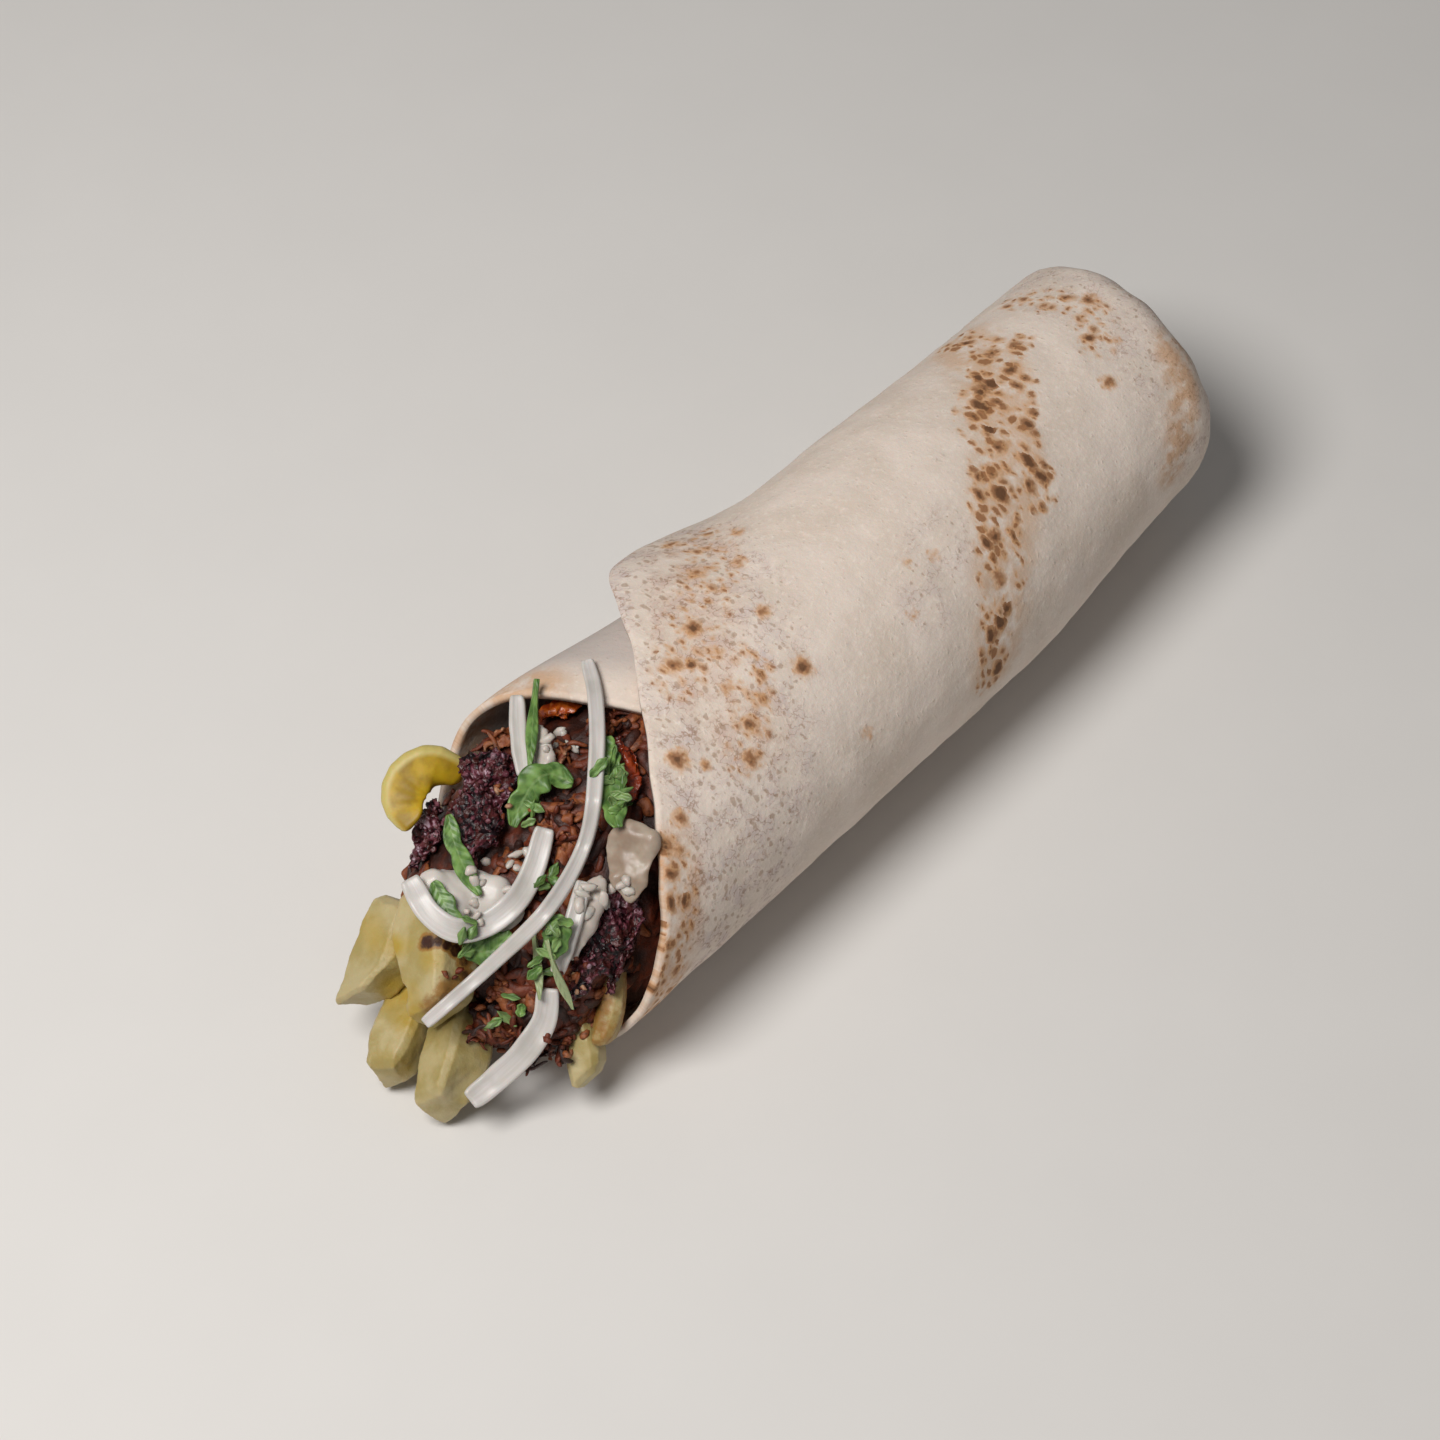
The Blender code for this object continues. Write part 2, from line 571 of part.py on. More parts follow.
def near(one, other, room):
    """Whether two objects' boxes come within the given distance."""
    boxes = []
    for thing in (one, other):
        corners = [v.co for v in thing.data.vertices]
        boxes.append([(min(c[i] for c in corners), max(c[i] for c in corners)) for i in range(3)])
    return all(boxes[0][i][0] - room < boxes[1][i][1] and boxes[1][i][0] - room < boxes[0][i][1]
               for i in range(3))


def cut_where_near(thing, cutters):
    """Takes out of a piece what the others fill. The manifold solver keeps craggy pieces closed."""
    for cutter in cutters:
        if near(thing, cutter, 0.1 * MM):
            add_boolean(thing, "DIFFERENCE", cutter, "MANIFOLD")


def look_of(name):
    """The finish of a piece of chicken, by how its name begins."""
    if name.startswith("charred"):
        return CHAR_LOOK
    return GLAZE_LOOK if name.startswith("glazed") else SHRED_LOOK


def build_fries(group, cutters):
    """The fries, each cut clear of those before it, and the room that each one takes."""
    fries, rooms = [], []
    for name, tip, root, thickness, roll in FRIES:
        ends = place_at_height(tip[:2], tip[2]), place_at_height(root[:2], root[2])
        fry = add_object(name, fry_mesh(*ends, thickness, roll, 0.0), FRY_LOOK, group)
        cut_where_near(fry, rooms)
        rooms.append(add_cutter(name + "_room", fry_mesh(*ends, thickness, roll, ROOM), FRY_LOOK, cutters))
        fries.append(fry)
    return fries, rooms


def build_chicken(group, cutters, pile, rooms):
    """Lumps dropped on the heap, each cut clear of the filling and of every piece before it."""
    lumps = []
    for name, place, sunk, sizes, turn, roughness, seed in CHICKEN:
        centre = DROP_POINT + drop_direction(place) * (pile.distance(place) + sunk)
        look = look_of(name)
        lump = add_object(name, rough_lump(centre, sizes, turn, roughness, seed), look, group)
        cut_where_near(lump, rooms)
        bigger = tuple(size + ROOM for size in sizes)
        rooms.append(add_cutter(name + "_room", rough_lump(centre, bigger, turn, roughness, seed),
                                look, cutters))
        lumps.append(lump)
        pile.add(lump)
    return lumps


def build_sauce(group, pile):
    blobs = []
    for name, place, sizes, thickness, turn in SAUCE:
        blob = add_object(name, sauce_mesh(pile, place, sizes, thickness, turn), SAUCE_LOOK, group)
        blobs.append(blob)
        pile.add(blob)
    return blobs


def lay_ribbon(group, pile, look, name, points, width, thickness, pointed=False, curl=0.0):
    """Drapes one strip, stem or leaf over everything laid so far, and gives it its thickness."""
    ribbon = add_object(name, ribbon_mesh(pile, points, width, pointed, curl), look, group)
    add_thickness(ribbon, thickness, 1)
    pile.add(ribbon)
    return ribbon


def build_wrap():
    clear_scene()
    group = new_collection("saj_shawarma_wrap")
    cutters = new_collection("cutters")
    pile = Pile()
    bread = build_bread(group, cutters)
    filling = add_object("shredded_filling", filling_mesh(0.0), FILLING_LOOK, group)
    room_for_filling = add_cutter("filling_room", filling_mesh(ROOM), FILLING_LOOK, cutters)
    fries, rooms = build_fries(group, cutters)
    piece = add_object("yellow_slice", slice_mesh(0.0), SLICE_LOOK, group)
    rooms.append(add_cutter("yellow_slice_room", slice_mesh(ROOM), SLICE_LOOK, cutters))
    pile.add(bread)
    pile.add(filling)
    cut_where_near(filling, rooms)
    for thing in fries + [piece]:
        pile.add(thing)
    laid = [bread, filling, piece] + fries
    laid += build_chicken(group, cutters, pile, [room_for_filling] + rooms)
    laid += build_sauce(group, pile)
    laid += [lay_ribbon(group, pile, ONION_LOOK, *row) for row in ONIONS[:LOWER_ONIONS]]
    laid += [lay_ribbon(group, pile, HERB_LOOK, *row) for row in HERBS]
    laid += [lay_ribbon(group, pile, ONION_LOOK, *row) for row in ONIONS[LOWER_ONIONS:]]
    stand_on_origin(laid, cutters.objects)


def stand_on_origin(things, cutters):
    """Hang every piece on one empty, so that the box's bottom centre is at the origin."""
    bpy.context.view_layer.update()
    graph = bpy.context.evaluated_depsgraph_get()
    corners = []
    for thing in things:
        mesh = thing.evaluated_get(graph).to_mesh()
        corners.extend(v.co.copy() for v in mesh.vertices)
    low = [min(c[i] for c in corners) for i in range(3)]
    high = [max(c[i] for c in corners) for i in range(3)]
    anchor = bpy.data.objects.new("wrap_anchor", None)
    bpy.context.scene.collection.objects.link(anchor)
    for thing in list(things) + list(cutters):
        thing.parent = anchor
    anchor.location = (-(low[0] + high[0]) / 2, -(low[1] + high[1]) / 2, -low[2])
    bpy.context.view_layer.update()


build_wrap()
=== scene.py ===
"""Looks of the saj shawarma wrap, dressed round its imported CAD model.

Sizes are in millimetres on the roll's own axes: the mouth towards -X, the closed end towards +X,
the table at z 0. on_frame() turns such a point into the frame's metres.
"""

import json
import math
import random

import bmesh
import bpy
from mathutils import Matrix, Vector, noise
from mathutils.bvhtree import BVHTree

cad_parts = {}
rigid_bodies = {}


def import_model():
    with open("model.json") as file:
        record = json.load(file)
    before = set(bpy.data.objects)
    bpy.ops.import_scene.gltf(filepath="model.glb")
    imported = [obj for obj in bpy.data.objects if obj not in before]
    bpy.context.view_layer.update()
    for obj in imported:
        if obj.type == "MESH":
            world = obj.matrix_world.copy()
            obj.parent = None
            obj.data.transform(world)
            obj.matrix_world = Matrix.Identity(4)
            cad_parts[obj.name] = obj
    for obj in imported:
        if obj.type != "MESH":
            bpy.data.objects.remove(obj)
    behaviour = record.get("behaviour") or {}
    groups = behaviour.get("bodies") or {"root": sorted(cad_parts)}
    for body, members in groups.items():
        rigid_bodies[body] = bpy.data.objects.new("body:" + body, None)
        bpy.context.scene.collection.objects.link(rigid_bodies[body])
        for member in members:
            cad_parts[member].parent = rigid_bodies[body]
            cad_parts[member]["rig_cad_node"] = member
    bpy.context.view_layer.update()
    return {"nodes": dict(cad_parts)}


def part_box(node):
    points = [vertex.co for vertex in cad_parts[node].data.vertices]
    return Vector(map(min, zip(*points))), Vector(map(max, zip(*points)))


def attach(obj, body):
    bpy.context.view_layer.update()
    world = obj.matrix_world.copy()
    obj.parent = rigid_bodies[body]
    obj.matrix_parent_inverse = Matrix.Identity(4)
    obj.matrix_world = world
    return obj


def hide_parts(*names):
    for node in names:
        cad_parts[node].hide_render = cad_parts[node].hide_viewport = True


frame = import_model()
random.seed(11)

# ## Saj flatbread
# A round of thin wheat dough, baked in a minute on a hot domed griddle, which leaves pale matt bread
# with leopard spots where it blistered. It is wound one and a half times round the filling, and its
# rim is tucked in over the far end.
MM = 0.001
BREAD_THICKNESS = 1.35
LAYER_PITCH = 2.0
OUTER_EDGE_TURN = -110
INNER_EDGE_TURN = 442
COLUMN_STEP = 2
WALL_ROWS = 104
SHOULDER_ROWS = 12
FACE_ROWS = 14
END_X = 122.5
SHOULDER_RADIUS, SHOULDER_SWING, TIGHTEST_TURN = 10.0, 4.0, -50
END_DOME = 1.5
END_HOLE = 3.0
END_REACH, END_SLANT, REACH_FROM_X, REACH_LENGTH = 2.0, 1.6, 90, 30
END_TAPER, TAPER_FROM_X, TAPER_LENGTH, TAPER_DEPTH = 4.6, 62, 52, 24
CAD_END_X, CAD_MIDDLE_Y = 124.4, 2.129
RESTING_SAG = 2.6
HEIGHT_TO_WIDTH = 0.9
MEAN_RADIUS = 27.8
MIDDLE_HEIGHT = MEAN_RADIUS * 0.8
DIAGONAL = 0.7
HALF_WIDTHS = ((-70, 28.5), (-20, 29.0), (20, 29.3), (60, 29.3), (95, 28.2), (130, 27.6))
LIP_REACH = ((-110, 55), (-85, 32), (-62, 13), (-24, -3), (14, -19), (41, -29), (67, -36), (93, -42),
             (118, -46), (150, -53), (184, -57), (220, -53), (250, -42), (270, -34), (298, -26),
             (320, -20), (338, -16), (369, -8), (401, 3), (442, 26))
# Where a lip stands off the roll: turn, spread, height, how far along
LIFTED_LIPS = ((-62, 35, 6.4, 17.0), (300, 34, 5.8, 26.0))
SWELL, SWELL_SPAN = 0.5, 26.0
BLISTER, BLISTER_SPAN = 0.22, 5.0
CREASE, CREASE_SPAN, CREASES_FROM_X = 0.30, 4.5, 84
PLEAT, PLEATS = 0.8, 13
LIP_RAGGEDNESS = 0.7

# Griddle marks: kind, strength, half width, and the points (x, turn in degrees) that the mark runs along
GRIDDLE_MARKS = (
    ("spots", 1.0, 4.6, ((94, -46), (92, -24), (84, -11), (76, -3), (73, 10), (68, 19), (63, 27), (59, 38),
                         (55, 50), (52, 60), (49, 70), (47, 84))),
    ("spots", 0.95, 3.8, ((97, -18), (89, -8), (88, 0), (80, 11), (77, 22), (76, 30), (73, 37))),
    ("spots", 0.75, 3.2, ((70, 26), (64, 37), (59, 54))),
    ("spots", 0.45, 7.0, ((26, -48), (18, -24), (6, -12), (-3, -2))),
    ("spots", 0.45, 5.0, ((8, 12), (2, 24), (-6, 36))),
    ("spots", 0.80, 5.4, ((-28, 44), (-31, 60), (-36, 78), (-39, 100), (-38, 124))),
    ("spots", 0.50, 5.0, ((108, -40), (110, -24), (112, -8), (106, 6))),
    ("smear", 0.85, 5.0, ((117, 26), (113, 42), (108, 56), (103, 68))),
    ("smear", 0.62, 8.0, ((93, -40), (86, -10), (76, 14), (66, 30), (56, 52), (49, 78))),
    ("smear", 0.55, 7.0, ((-28, 44), (-32, 66), (-38, 96), (-38, 120))),
    ("smear", 0.28, 9.0, ((24, -44), (10, -20), (2, 0), (-2, 28))),
    ("smear", 0.85, 8.0, ((-36, 262), (-28, 290), (-20, 318))),
    ("mottling", 0.95, 18.0, ((18, -52), (8, -10), (-4, 26), (-18, 62), (-22, 90))),
    ("mottling", 0.6, 12.0, ((118, -40), (116, 0), (112, 60))),
    ("mottling", 0.5, 7.0, ((52, 24), (40, 38))),
)
# Separate blisters: x, turn, radius, strength
BLISTERS = (
    (6, -12, 3.0, 1.0), (-2, -6, 3.4, 0.9), (0, -2, 2.2, 1.0), (17, 1, 2.4, 0.9), (23, -22, 2.6, 0.8),
    (14, 25, 3.4, 0.95), (-15, 20, 3.2, 1.0), (-12, 28, 2.0, 0.8), (-1, 28, 2.8, 0.95), (-5, 37, 3.2, 0.95),
    (4, 24, 2.4, 0.9), (1, 13, 2.2, 0.8), (-22, 36, 2.8, 0.85), (-27, 40, 2.2, 0.9), (-26, 44, 2.2, 0.9),
    (17, -30, 3.2, 0.8), (22, -54, 2.6, 0.8), (5, 1, 2.2, 0.8), (30, -36, 2.6, 0.7), (92, -22, 3.2, 1.0),
    (83, -11, 3.6, 1.0), (90, -9, 3.4, 0.95), (76, -3, 2.8, 1.0), (96, -17, 2.8, 0.95), (74, 12, 3.0, 1.0),
    (69, 18, 3.2, 0.95), (76, 31, 3.2, 0.9), (60, 36, 3.0, 1.0), (56, 49, 3.2, 0.95), (50, 66, 2.8, 0.9),
    (114, -11, 3.0, 1.0), (106, 2, 2.6, 0.95), (101, 20, 2.8, 0.9), (109, 10, 2.0, 0.6), (48, 26, 2.0, 0.7),
    (43, 22, 1.8, 0.55), (37, 37, 2.2, 0.5), (17, 61, 2.2, 0.65),
)


def curve_value(points, at):
    """A smooth curve through (position, value) points, held flat beyond both ends."""
    last = len(points) - 1
    if at <= points[0][0]:
        return points[0][1]
    if at >= points[last][0]:
        return points[last][1]
    i = max(k for k in range(last) if points[k][0] <= at)

    def slope(k):
        low, high = max(k - 1, 0), min(k + 1, last)
        return (points[high][1] - points[low][1]) / (points[high][0] - points[low][0])

    span = points[i + 1][0] - points[i][0]
    t = (at - points[i][0]) / span
    return ((2 * t ** 3 - 3 * t ** 2 + 1) * points[i][1] + (t ** 3 - 2 * t ** 2 + t) * span * slope(i)
            + (3 * t ** 2 - 2 * t ** 3) * points[i + 1][1] + (t ** 3 - t ** 2) * span * slope(i + 1))


def clamp(value):
    """Keeps a value within 0 and 1."""
    return min(max(value, 0.0), 1.0)


def eased(value):
    """0 to 1 with a soft start and end."""
    value = clamp(value)
    return value * value * (3 - 2 * value)


def half_width(x):
    return curve_value(HALF_WIDTHS, x)


def layer_depth(turn):
    """How deep a turn of the sheet lies under the roll's outline."""
    return LAYER_PITCH * (turn - OUTER_EDGE_TURN) / 360


def shoulder_radius(turn):
    """How round the closed end's corner is: tight on the far top side, wide on the near low side."""
    return SHOULDER_RADIUS - SHOULDER_SWING * math.cos(math.radians(turn - TIGHTEST_TURN))


def settled(x, y, z):
    """The closed end is narrower low on its near side, and its face slants."""
    low_near = clamp((-y * DIAGONAL - (z - MIDDLE_HEIGHT) * DIAGONAL) / TAPER_DEPTH) ** 2
    return Vector((x + (END_REACH + END_SLANT * y / MEAN_RADIUS) * clamp((x - REACH_FROM_X) / REACH_LENGTH),
                   y + END_TAPER * eased((x - TAPER_FROM_X) / TAPER_LENGTH) * low_near, z))


def sheet_relief(x, turn):
    """How far the outermost turn stands out: slow swells, blisters, and creases near the closed end."""
    shown = clamp((120 - turn) / 60)
    angle = math.radians(turn)
    round_it = Vector((x, 29 * math.cos(angle), 29 * math.sin(angle)))
    swell = SWELL * shown * (0.5 + 0.5 * noise.noise(round_it / SWELL_SPAN))
    outside = clamp((240 - turn) / 30)
    blister = BLISTER * outside * noise.noise(round_it / BLISTER_SPAN)
    near_end = clamp((x - CREASES_FROM_X) / 22)
    crease_at = Vector((x / CREASE_SPAN + 1.4 * noise.noise(round_it / 14), turn / 60, 0))
    crease = CREASE * outside * near_end * (1 - abs(noise.noise(crease_at)) * 2.2)
    return swell + blister + crease * 0.6


def sheet_point(turn, row):
    """The sheet's outer face: turn in degrees, row from the lip over the wall and shoulder to the end."""
    depth, corner = layer_depth(turn), shoulder_radius(turn)
    shoulder_x = END_X - corner
    lip = curve_value(LIP_REACH, turn) + LIP_RAGGEDNESS * noise.noise(Vector((turn / 14, 5.1, 0)))
    pleat = 0.0
    if row <= WALL_ROWS:
        x = lip + (shoulder_x - lip) * row / WALL_ROWS
        lift = sum(height * math.exp(-((turn - middle) / spread) ** 2 - ((x - lip) / length) ** 2)
                   for middle, spread, height, length in LIFTED_LIPS)
        inset = depth - lift - sheet_relief(x, turn)
    elif row <= WALL_ROWS + SHOULDER_ROWS:
        bend = math.radians(90) * (row - WALL_ROWS) / SHOULDER_ROWS
        radius = corner - depth
        x = shoulder_x + radius * math.sin(bend)
        pleat = math.sin(bend) ** 2
        inset = corner - radius * math.cos(bend) - sheet_relief(x, turn) * (1 - pleat)
    else:
        part = (row - WALL_ROWS - SHOULDER_ROWS) / FACE_ROWS
        deepest = half_width(END_X) * HEIGHT_TO_WIDTH - END_HOLE
        inset = corner + (deepest - corner) * part
        x = END_X - depth + END_DOME * (1 - (1 - part) ** 2)
        pleat = 1.0
    angle = math.radians(turn)
    waver = 1.6 * noise.noise(Vector((math.cos(angle), math.sin(angle), 0)) * 1.8)
    x -= PLEAT * pleat * (0.5 - 0.5 * math.cos(PLEATS * angle + 3 * waver))
    height = half_width(x) * HEIGHT_TO_WIDTH
    y = -(half_width(x) - inset) * math.sin(angle)
    z = height - RESTING_SAG + (height - inset) * math.cos(angle)
    return settled(x, y, max(z, 0.0))


def cad_offset():
    """The move from the roll's own axes to the frame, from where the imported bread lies."""
    low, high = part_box("saj_bread")
    return Vector((high.x - CAD_END_X * MM, (low.y + high.y) / 2 - CAD_MIDDLE_Y * MM, 0.0))


OFFSET = cad_offset()


def on_frame(point):
    return Vector(point) * MM + OFFSET


def linear(hex_colour):
    """An sRGB hex colour as the linear colour that a shader takes."""
    parts = [int(hex_colour[i:i + 2], 16) / 255 for i in (1, 3, 5)]
    return tuple(p / 12.92 if p <= 0.04045 else ((p + 0.055) / 1.055) ** 2.4 for p in parts) + (1.0,)


def start_material(name, **shader_values):
    """A material whose Principled shader has these constants set on its own sockets, and its nodes."""
    material = bpy.data.materials.new(name)
    material.use_nodes = True
    shader = material.node_tree.nodes["Principled BSDF"]
    for socket, value in shader_values.items():
        shader.inputs[socket.replace("_", " ")].default_value = value
    return material, material.node_tree


def node(tree, kind, links=None, values=None, **settings):
    """Adds a node with its settings, its socket values and what each socket is linked from."""
    made = tree.nodes.new("ShaderNode" + kind)
    for key, value in settings.items():
        setattr(made, key, value)
    for socket, value in (values or {}).items():
        made.inputs[socket].default_value = value
    for socket, source in (links or {}).items():
        tree.links.new(source, made.inputs[socket])
    return made


def blend_colours(share, one, two):
    """Mixes two colours, each a hex colour or a node's output, by a share that is a node's output."""
    tree = share.id_data
    mix = node(tree, "Mix", {0: share}, data_type="RGBA")
    for socket, source in ((6, one), (7, two)):
        if isinstance(source, str):
            mix.inputs[socket].default_value = linear(source)
        else:
            tree.links.new(source, mix.inputs[socket])
    return mix.outputs[2]


def reached(value, low, high):
    """0 below low, 1 above high, smooth between."""
    return node(value.id_data, "MapRange", {"Value": value}, {"From Min": low, "From Max": high},
                interpolation_type="SMOOTHSTEP").outputs["Result"]


def reckon(operation, one, two=0.0):
    """The result of a Math node, from a node's output and a number or another output."""
    made = node(one.id_data, "Math", {0: one}, operation=operation)
    if isinstance(two, (int, float)):
        made.inputs[1].default_value = two
    else:
        one.id_data.links.new(two, made.inputs[1])
    return made.outputs[0]


def plus(one, two):
    return reckon("ADD", one, two)


def times(one, two):
    return reckon("MULTIPLY", one, two)


def swing(value, size):
    """Noise from 0 to 1 as an amount to add or take off."""
    return times(reckon("SUBTRACT", value, 0.5), size)


def cover(base, share, colour, strength=1.0):
    """Lays a colour over the base by a share, thinned to the strength."""
    return blend_colours(times(share, strength) if strength < 1 else share, base, colour)


def layered(base, *layers):
    """Lays colours over the base, each where a value goes from low to high, and thinned if it says so."""
    for value, low, high, colour, *strength in layers:
        base = cover(base, reached(value, low, high), colour, *strength)
    return base


def finish_material(material, colour, height=None, strength=0.0, depth=0.0):
    """Gives a material its colour and a fine relief of this depth in metres."""
    tree = material.node_tree
    shader = tree.nodes["Principled BSDF"]
    tree.links.new(colour, shader.inputs["Base Color"])
    if height is not None:
        bump = node(tree, "Bump", {"Height": height}, {"Strength": strength, "Distance": depth})
        tree.links.new(bump.outputs[0], shader.inputs["Normal"])
    return material


def baked_flatbread():
    """Matt wheat bread: beige with grey and pink mottling, and brown blister marks with tan halos."""
    material, tree = start_material("saj_bread_baked", Roughness=0.78, Specular_IOR_Level=0.3,
                                    Subsurface_Weight=0.06, Subsurface_Scale=0.0015)
    at = node(tree, "Attribute", attribute_name="on_sheet").outputs["Vector"]
    marks = node(tree, "Attribute", attribute_name="griddle").outputs["Vector"]
    spots, smear, mottled = node(tree, "SeparateXYZ", {0: marks}).outputs
    blistered = node(tree, "Attribute", attribute_name="blistered").outputs["Fac"]
    damp = node(tree, "Attribute", attribute_name="damp").outputs["Fac"]
    cloudy = node(tree, "TexNoise", {"Vector": at},
                  {"Scale": 1 / 13, "Detail": 4.0, "Roughness": 0.55}).outputs[0]
    fine = node(tree, "TexNoise", {"Vector": at}, {"Scale": 1 / 1.9, "Detail": 2.0}).outputs[0]
    floury = node(tree, "TexNoise", {"Vector": at},
                  {"Scale": 1 / 1.2, "Detail": 3.0, "Roughness": 0.6}).outputs[0]
    patches = node(tree, "TexNoise", {"Vector": at}, {"Scale": 1 / 4.5, "Detail": 5.0, "Roughness": 0.62})
    patchy = patches.outputs[0]
    drift = node(tree, "VectorMath", {0: patches.outputs["Color"]}, {1: (3.6, 3.6, 0)}, operation="MULTIPLY")
    warped = node(tree, "VectorMath", {0: at, 1: drift.outputs[0]}, operation="ADD").outputs[0]

    def spotting(width, length, least, most, seed, where):
        """Blister marks in cells of the given size: how far inside its mark each point is."""
        placed = node(tree, "Mapping", {"Vector": warped}, {"Location": (seed, seed, 0),
                                                            "Scale": (1 / width, 1 / length, 0)})
        cells = node(tree, "TexVoronoi", {"Vector": placed.outputs[0]}, {"Scale": 1.0, "Randomness": 1.0},
                     voronoi_dimensions="2D")
        chance = node(tree, "SeparateColor", {0: cells.outputs["Color"]}).outputs[0]
        size = node(tree, "MapRange", {"Value": chance}, {"To Min": least, "To Max": most}).outputs[0]
        return reckon("SUBTRACT", times(size, where), cells.outputs["Distance"])

    lone = plus(times(blistered, 0.80), times(reckon("SUBTRACT", fine, 1.22), 0.62))
    big = reckon("MAXIMUM", spotting(3.0, 4.4, -0.16, 0.50, 0.0, spots), lone)
    small = spotting(1.7, 2.6, -0.30, 0.50, 7.3, spots)
    specks = spotting(1.3, 1.8, -0.34, 0.42, 3.1, mottled)
    off_line = reckon("ABSOLUTE", reckon("SUBTRACT", fine, 0.5))
    threads = times(reached(off_line, 0.035, 0.005),
                    times(mottled, reached(patchy, 0.42, 0.60)))
    base = layered("#e2d3c6", (cloudy, 0.35, 0.68, "#d8c8b9"))
    base = cover(base, times(reached(patchy, 0.42, 0.66), mottled), "#c9b8b3", 0.80)
    # Floury patches, then painted shade: the inner face of the flap by the mouth, which lies in shadow, is
    # darkened to grey.
    base = cover(layered(base, (floury, 0.50, 0.80, "#eadccf")), damp, "#bcb1aa")
    base = cover(base, times(reached(patchy, 0.34, 0.58), smear), "#c99c72", 0.85)
    base = layered(cover(base, threads, "#91694a", 0.60), (specks, -0.08, 0.12, "#977558", 0.5))
    marked = reckon("MAXIMUM", reached(spots, 0.08, 0.55), reached(blistered, 0.05, 0.3))
    for depth in (big, small):
        base = cover(base, times(reached(depth, -0.34, 0.02), marked), "#cb9a6c", 0.72)
        base = layered(base, (depth, -0.06, 0.10, "#93633f", 0.82))
    base = layered(base, (big, 0.10, 0.26, "#60402a", 0.85))
    dents = plus(times(floury, 0.35), patchy)
    dents = plus(dents, times(reached(big, -0.15, 0.15), 0.5))
    return finish_material(material, base, dents, 0.45, 0.0006)


def unrolled(x, turn):
    """Where a place lies on the sheet rolled out flat."""
    return Vector((x, math.radians(turn) * MEAN_RADIUS))


def gap_to_line(point, one, two):
    """How far a point is from the line between two others."""
    run = two - one
    return (point - one - run * clamp((point - one).dot(run) / run.length_squared)).length


def mark_strength(kind, x, turn):
    """How strongly the griddle marked the sheet at a place, for one kind of mark."""
    best = 0.0
    here = unrolled(x, turn)
    for sort, strength, half_breadth, points in GRIDDLE_MARKS:
        if sort != kind:
            continue
        path = [unrolled(*point) for point in points]
        gap = min(gap_to_line(here, one, two) for one, two in zip(path, path[1:]))
        best = max(best, strength * clamp(1.25 - (gap / half_breadth) ** 2 * 1.1))
    return best


def blister_strength(x, turn):
    """How near a place is to the middle of a separate blister: 1 at the middle, 0 at its radius."""
    return max(strength * clamp(1 - math.hypot(x - at, math.radians(turn - its_turn) * MEAN_RADIUS) / radius)
               for at, its_turn, radius, strength in BLISTERS)


def put_in_scene(made):
    bpy.context.scene.collection.objects.link(made)


def add_object(name, bm, material):
    """Turns a bmesh into an object of the scene."""
    mesh = bpy.data.meshes.new(name)
    bm.to_mesh(mesh)
    bm.free()
    mesh.materials.append(material)
    made = bpy.data.objects.new(name, mesh)
    put_in_scene(made)
    return made


def show_piece(name, bm, material, slot, *stands_for):
    """Makes a mesh in roll millimetres into a finished piece of the wrap, in the frame's metres."""
    for v in bm.verts:
        v.co = on_frame(v.co)
    piece = add_object(name, bm, material)
    piece.data.shade_smooth()
    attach(piece, "root")
    if stands_for:
        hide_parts(*stands_for)
    return piece


def float_layer(bm, name):
    """The layer of that name, new if it isn't there."""
    layers = bm.verts.layers.float
    return layers.get(name) or layers.new(name)


def vector_layer(bm, name):
    return bm.verts.layers.float_vector.new(name)


def unit_grid(columns, rows):
    """A flat grid whose corners are at -1 and 1."""
    bm = bmesh.new()
    bmesh.ops.create_grid(bm, x_segments=columns, y_segments=rows, size=1.0)
    return bm


def add_thickness(piece, thickness, offset):
    shell = piece.modifiers.new("thickness", "SOLIDIFY")
    shell.thickness = thickness * MM
    shell.offset = offset
    shell.use_even_offset = False
    return shell


def add_smoothing(piece, levels):
    smooth = piece.modifiers.new("smoothing", "SUBSURF")
    smooth.levels = levels
    smooth.render_levels = levels


BAKED_BREAD = baked_flatbread()
SHEET_TURNS, SHEET_ROWS = INNER_EDGE_TURN - OUTER_EDGE_TURN, WALL_ROWS + SHOULDER_ROWS + FACE_ROWS
bm = unit_grid(round(SHEET_TURNS / COLUMN_STEP), SHEET_ROWS)
on_sheet = vector_layer(bm, "on_sheet")
griddle = vector_layer(bm, "griddle")
blistered = float_layer(bm, "blistered")
damp = float_layer(bm, "damp")
for v in bm.verts:
    turn = OUTER_EDGE_TURN + (v.co.x + 1) / 2 * SHEET_TURNS
    v.co = sheet_point(turn, (v.co.y + 1) / 2 * SHEET_ROWS)
    v[on_sheet] = unrolled(v.co.x, turn).to_3d()
    v[griddle] = [mark_strength(kind, v.co.x, turn) for kind in ("spots", "smear", "mottling")]
    v[blistered] = blister_strength(v.co.x, turn)
    # Painted shade: how far the inner turn of the flap by the mouth is darkened for the shadow it lies in.
    v[damp] = 0.9 * clamp((turn - 240) / 25) * clamp((v.co.x - curve_value(LIP_REACH, turn) - 4) / 8)
bread = show_piece("bread_sheet", bm, BAKED_BREAD, "flatbread", "saj_bread")
add_thickness(bread, BREAD_THICKNESS, -1)

# ## End tuck
# The rim of the same bread, pinched together and pushed in over the middle of the closed end. It is
# several layers of soft dough folded on themselves.
TUCK_HALF_SIZE = (3.0, 9.5, 6.5)
TUCK_SUNK = 1.5
TUCK_FOLDS = 7

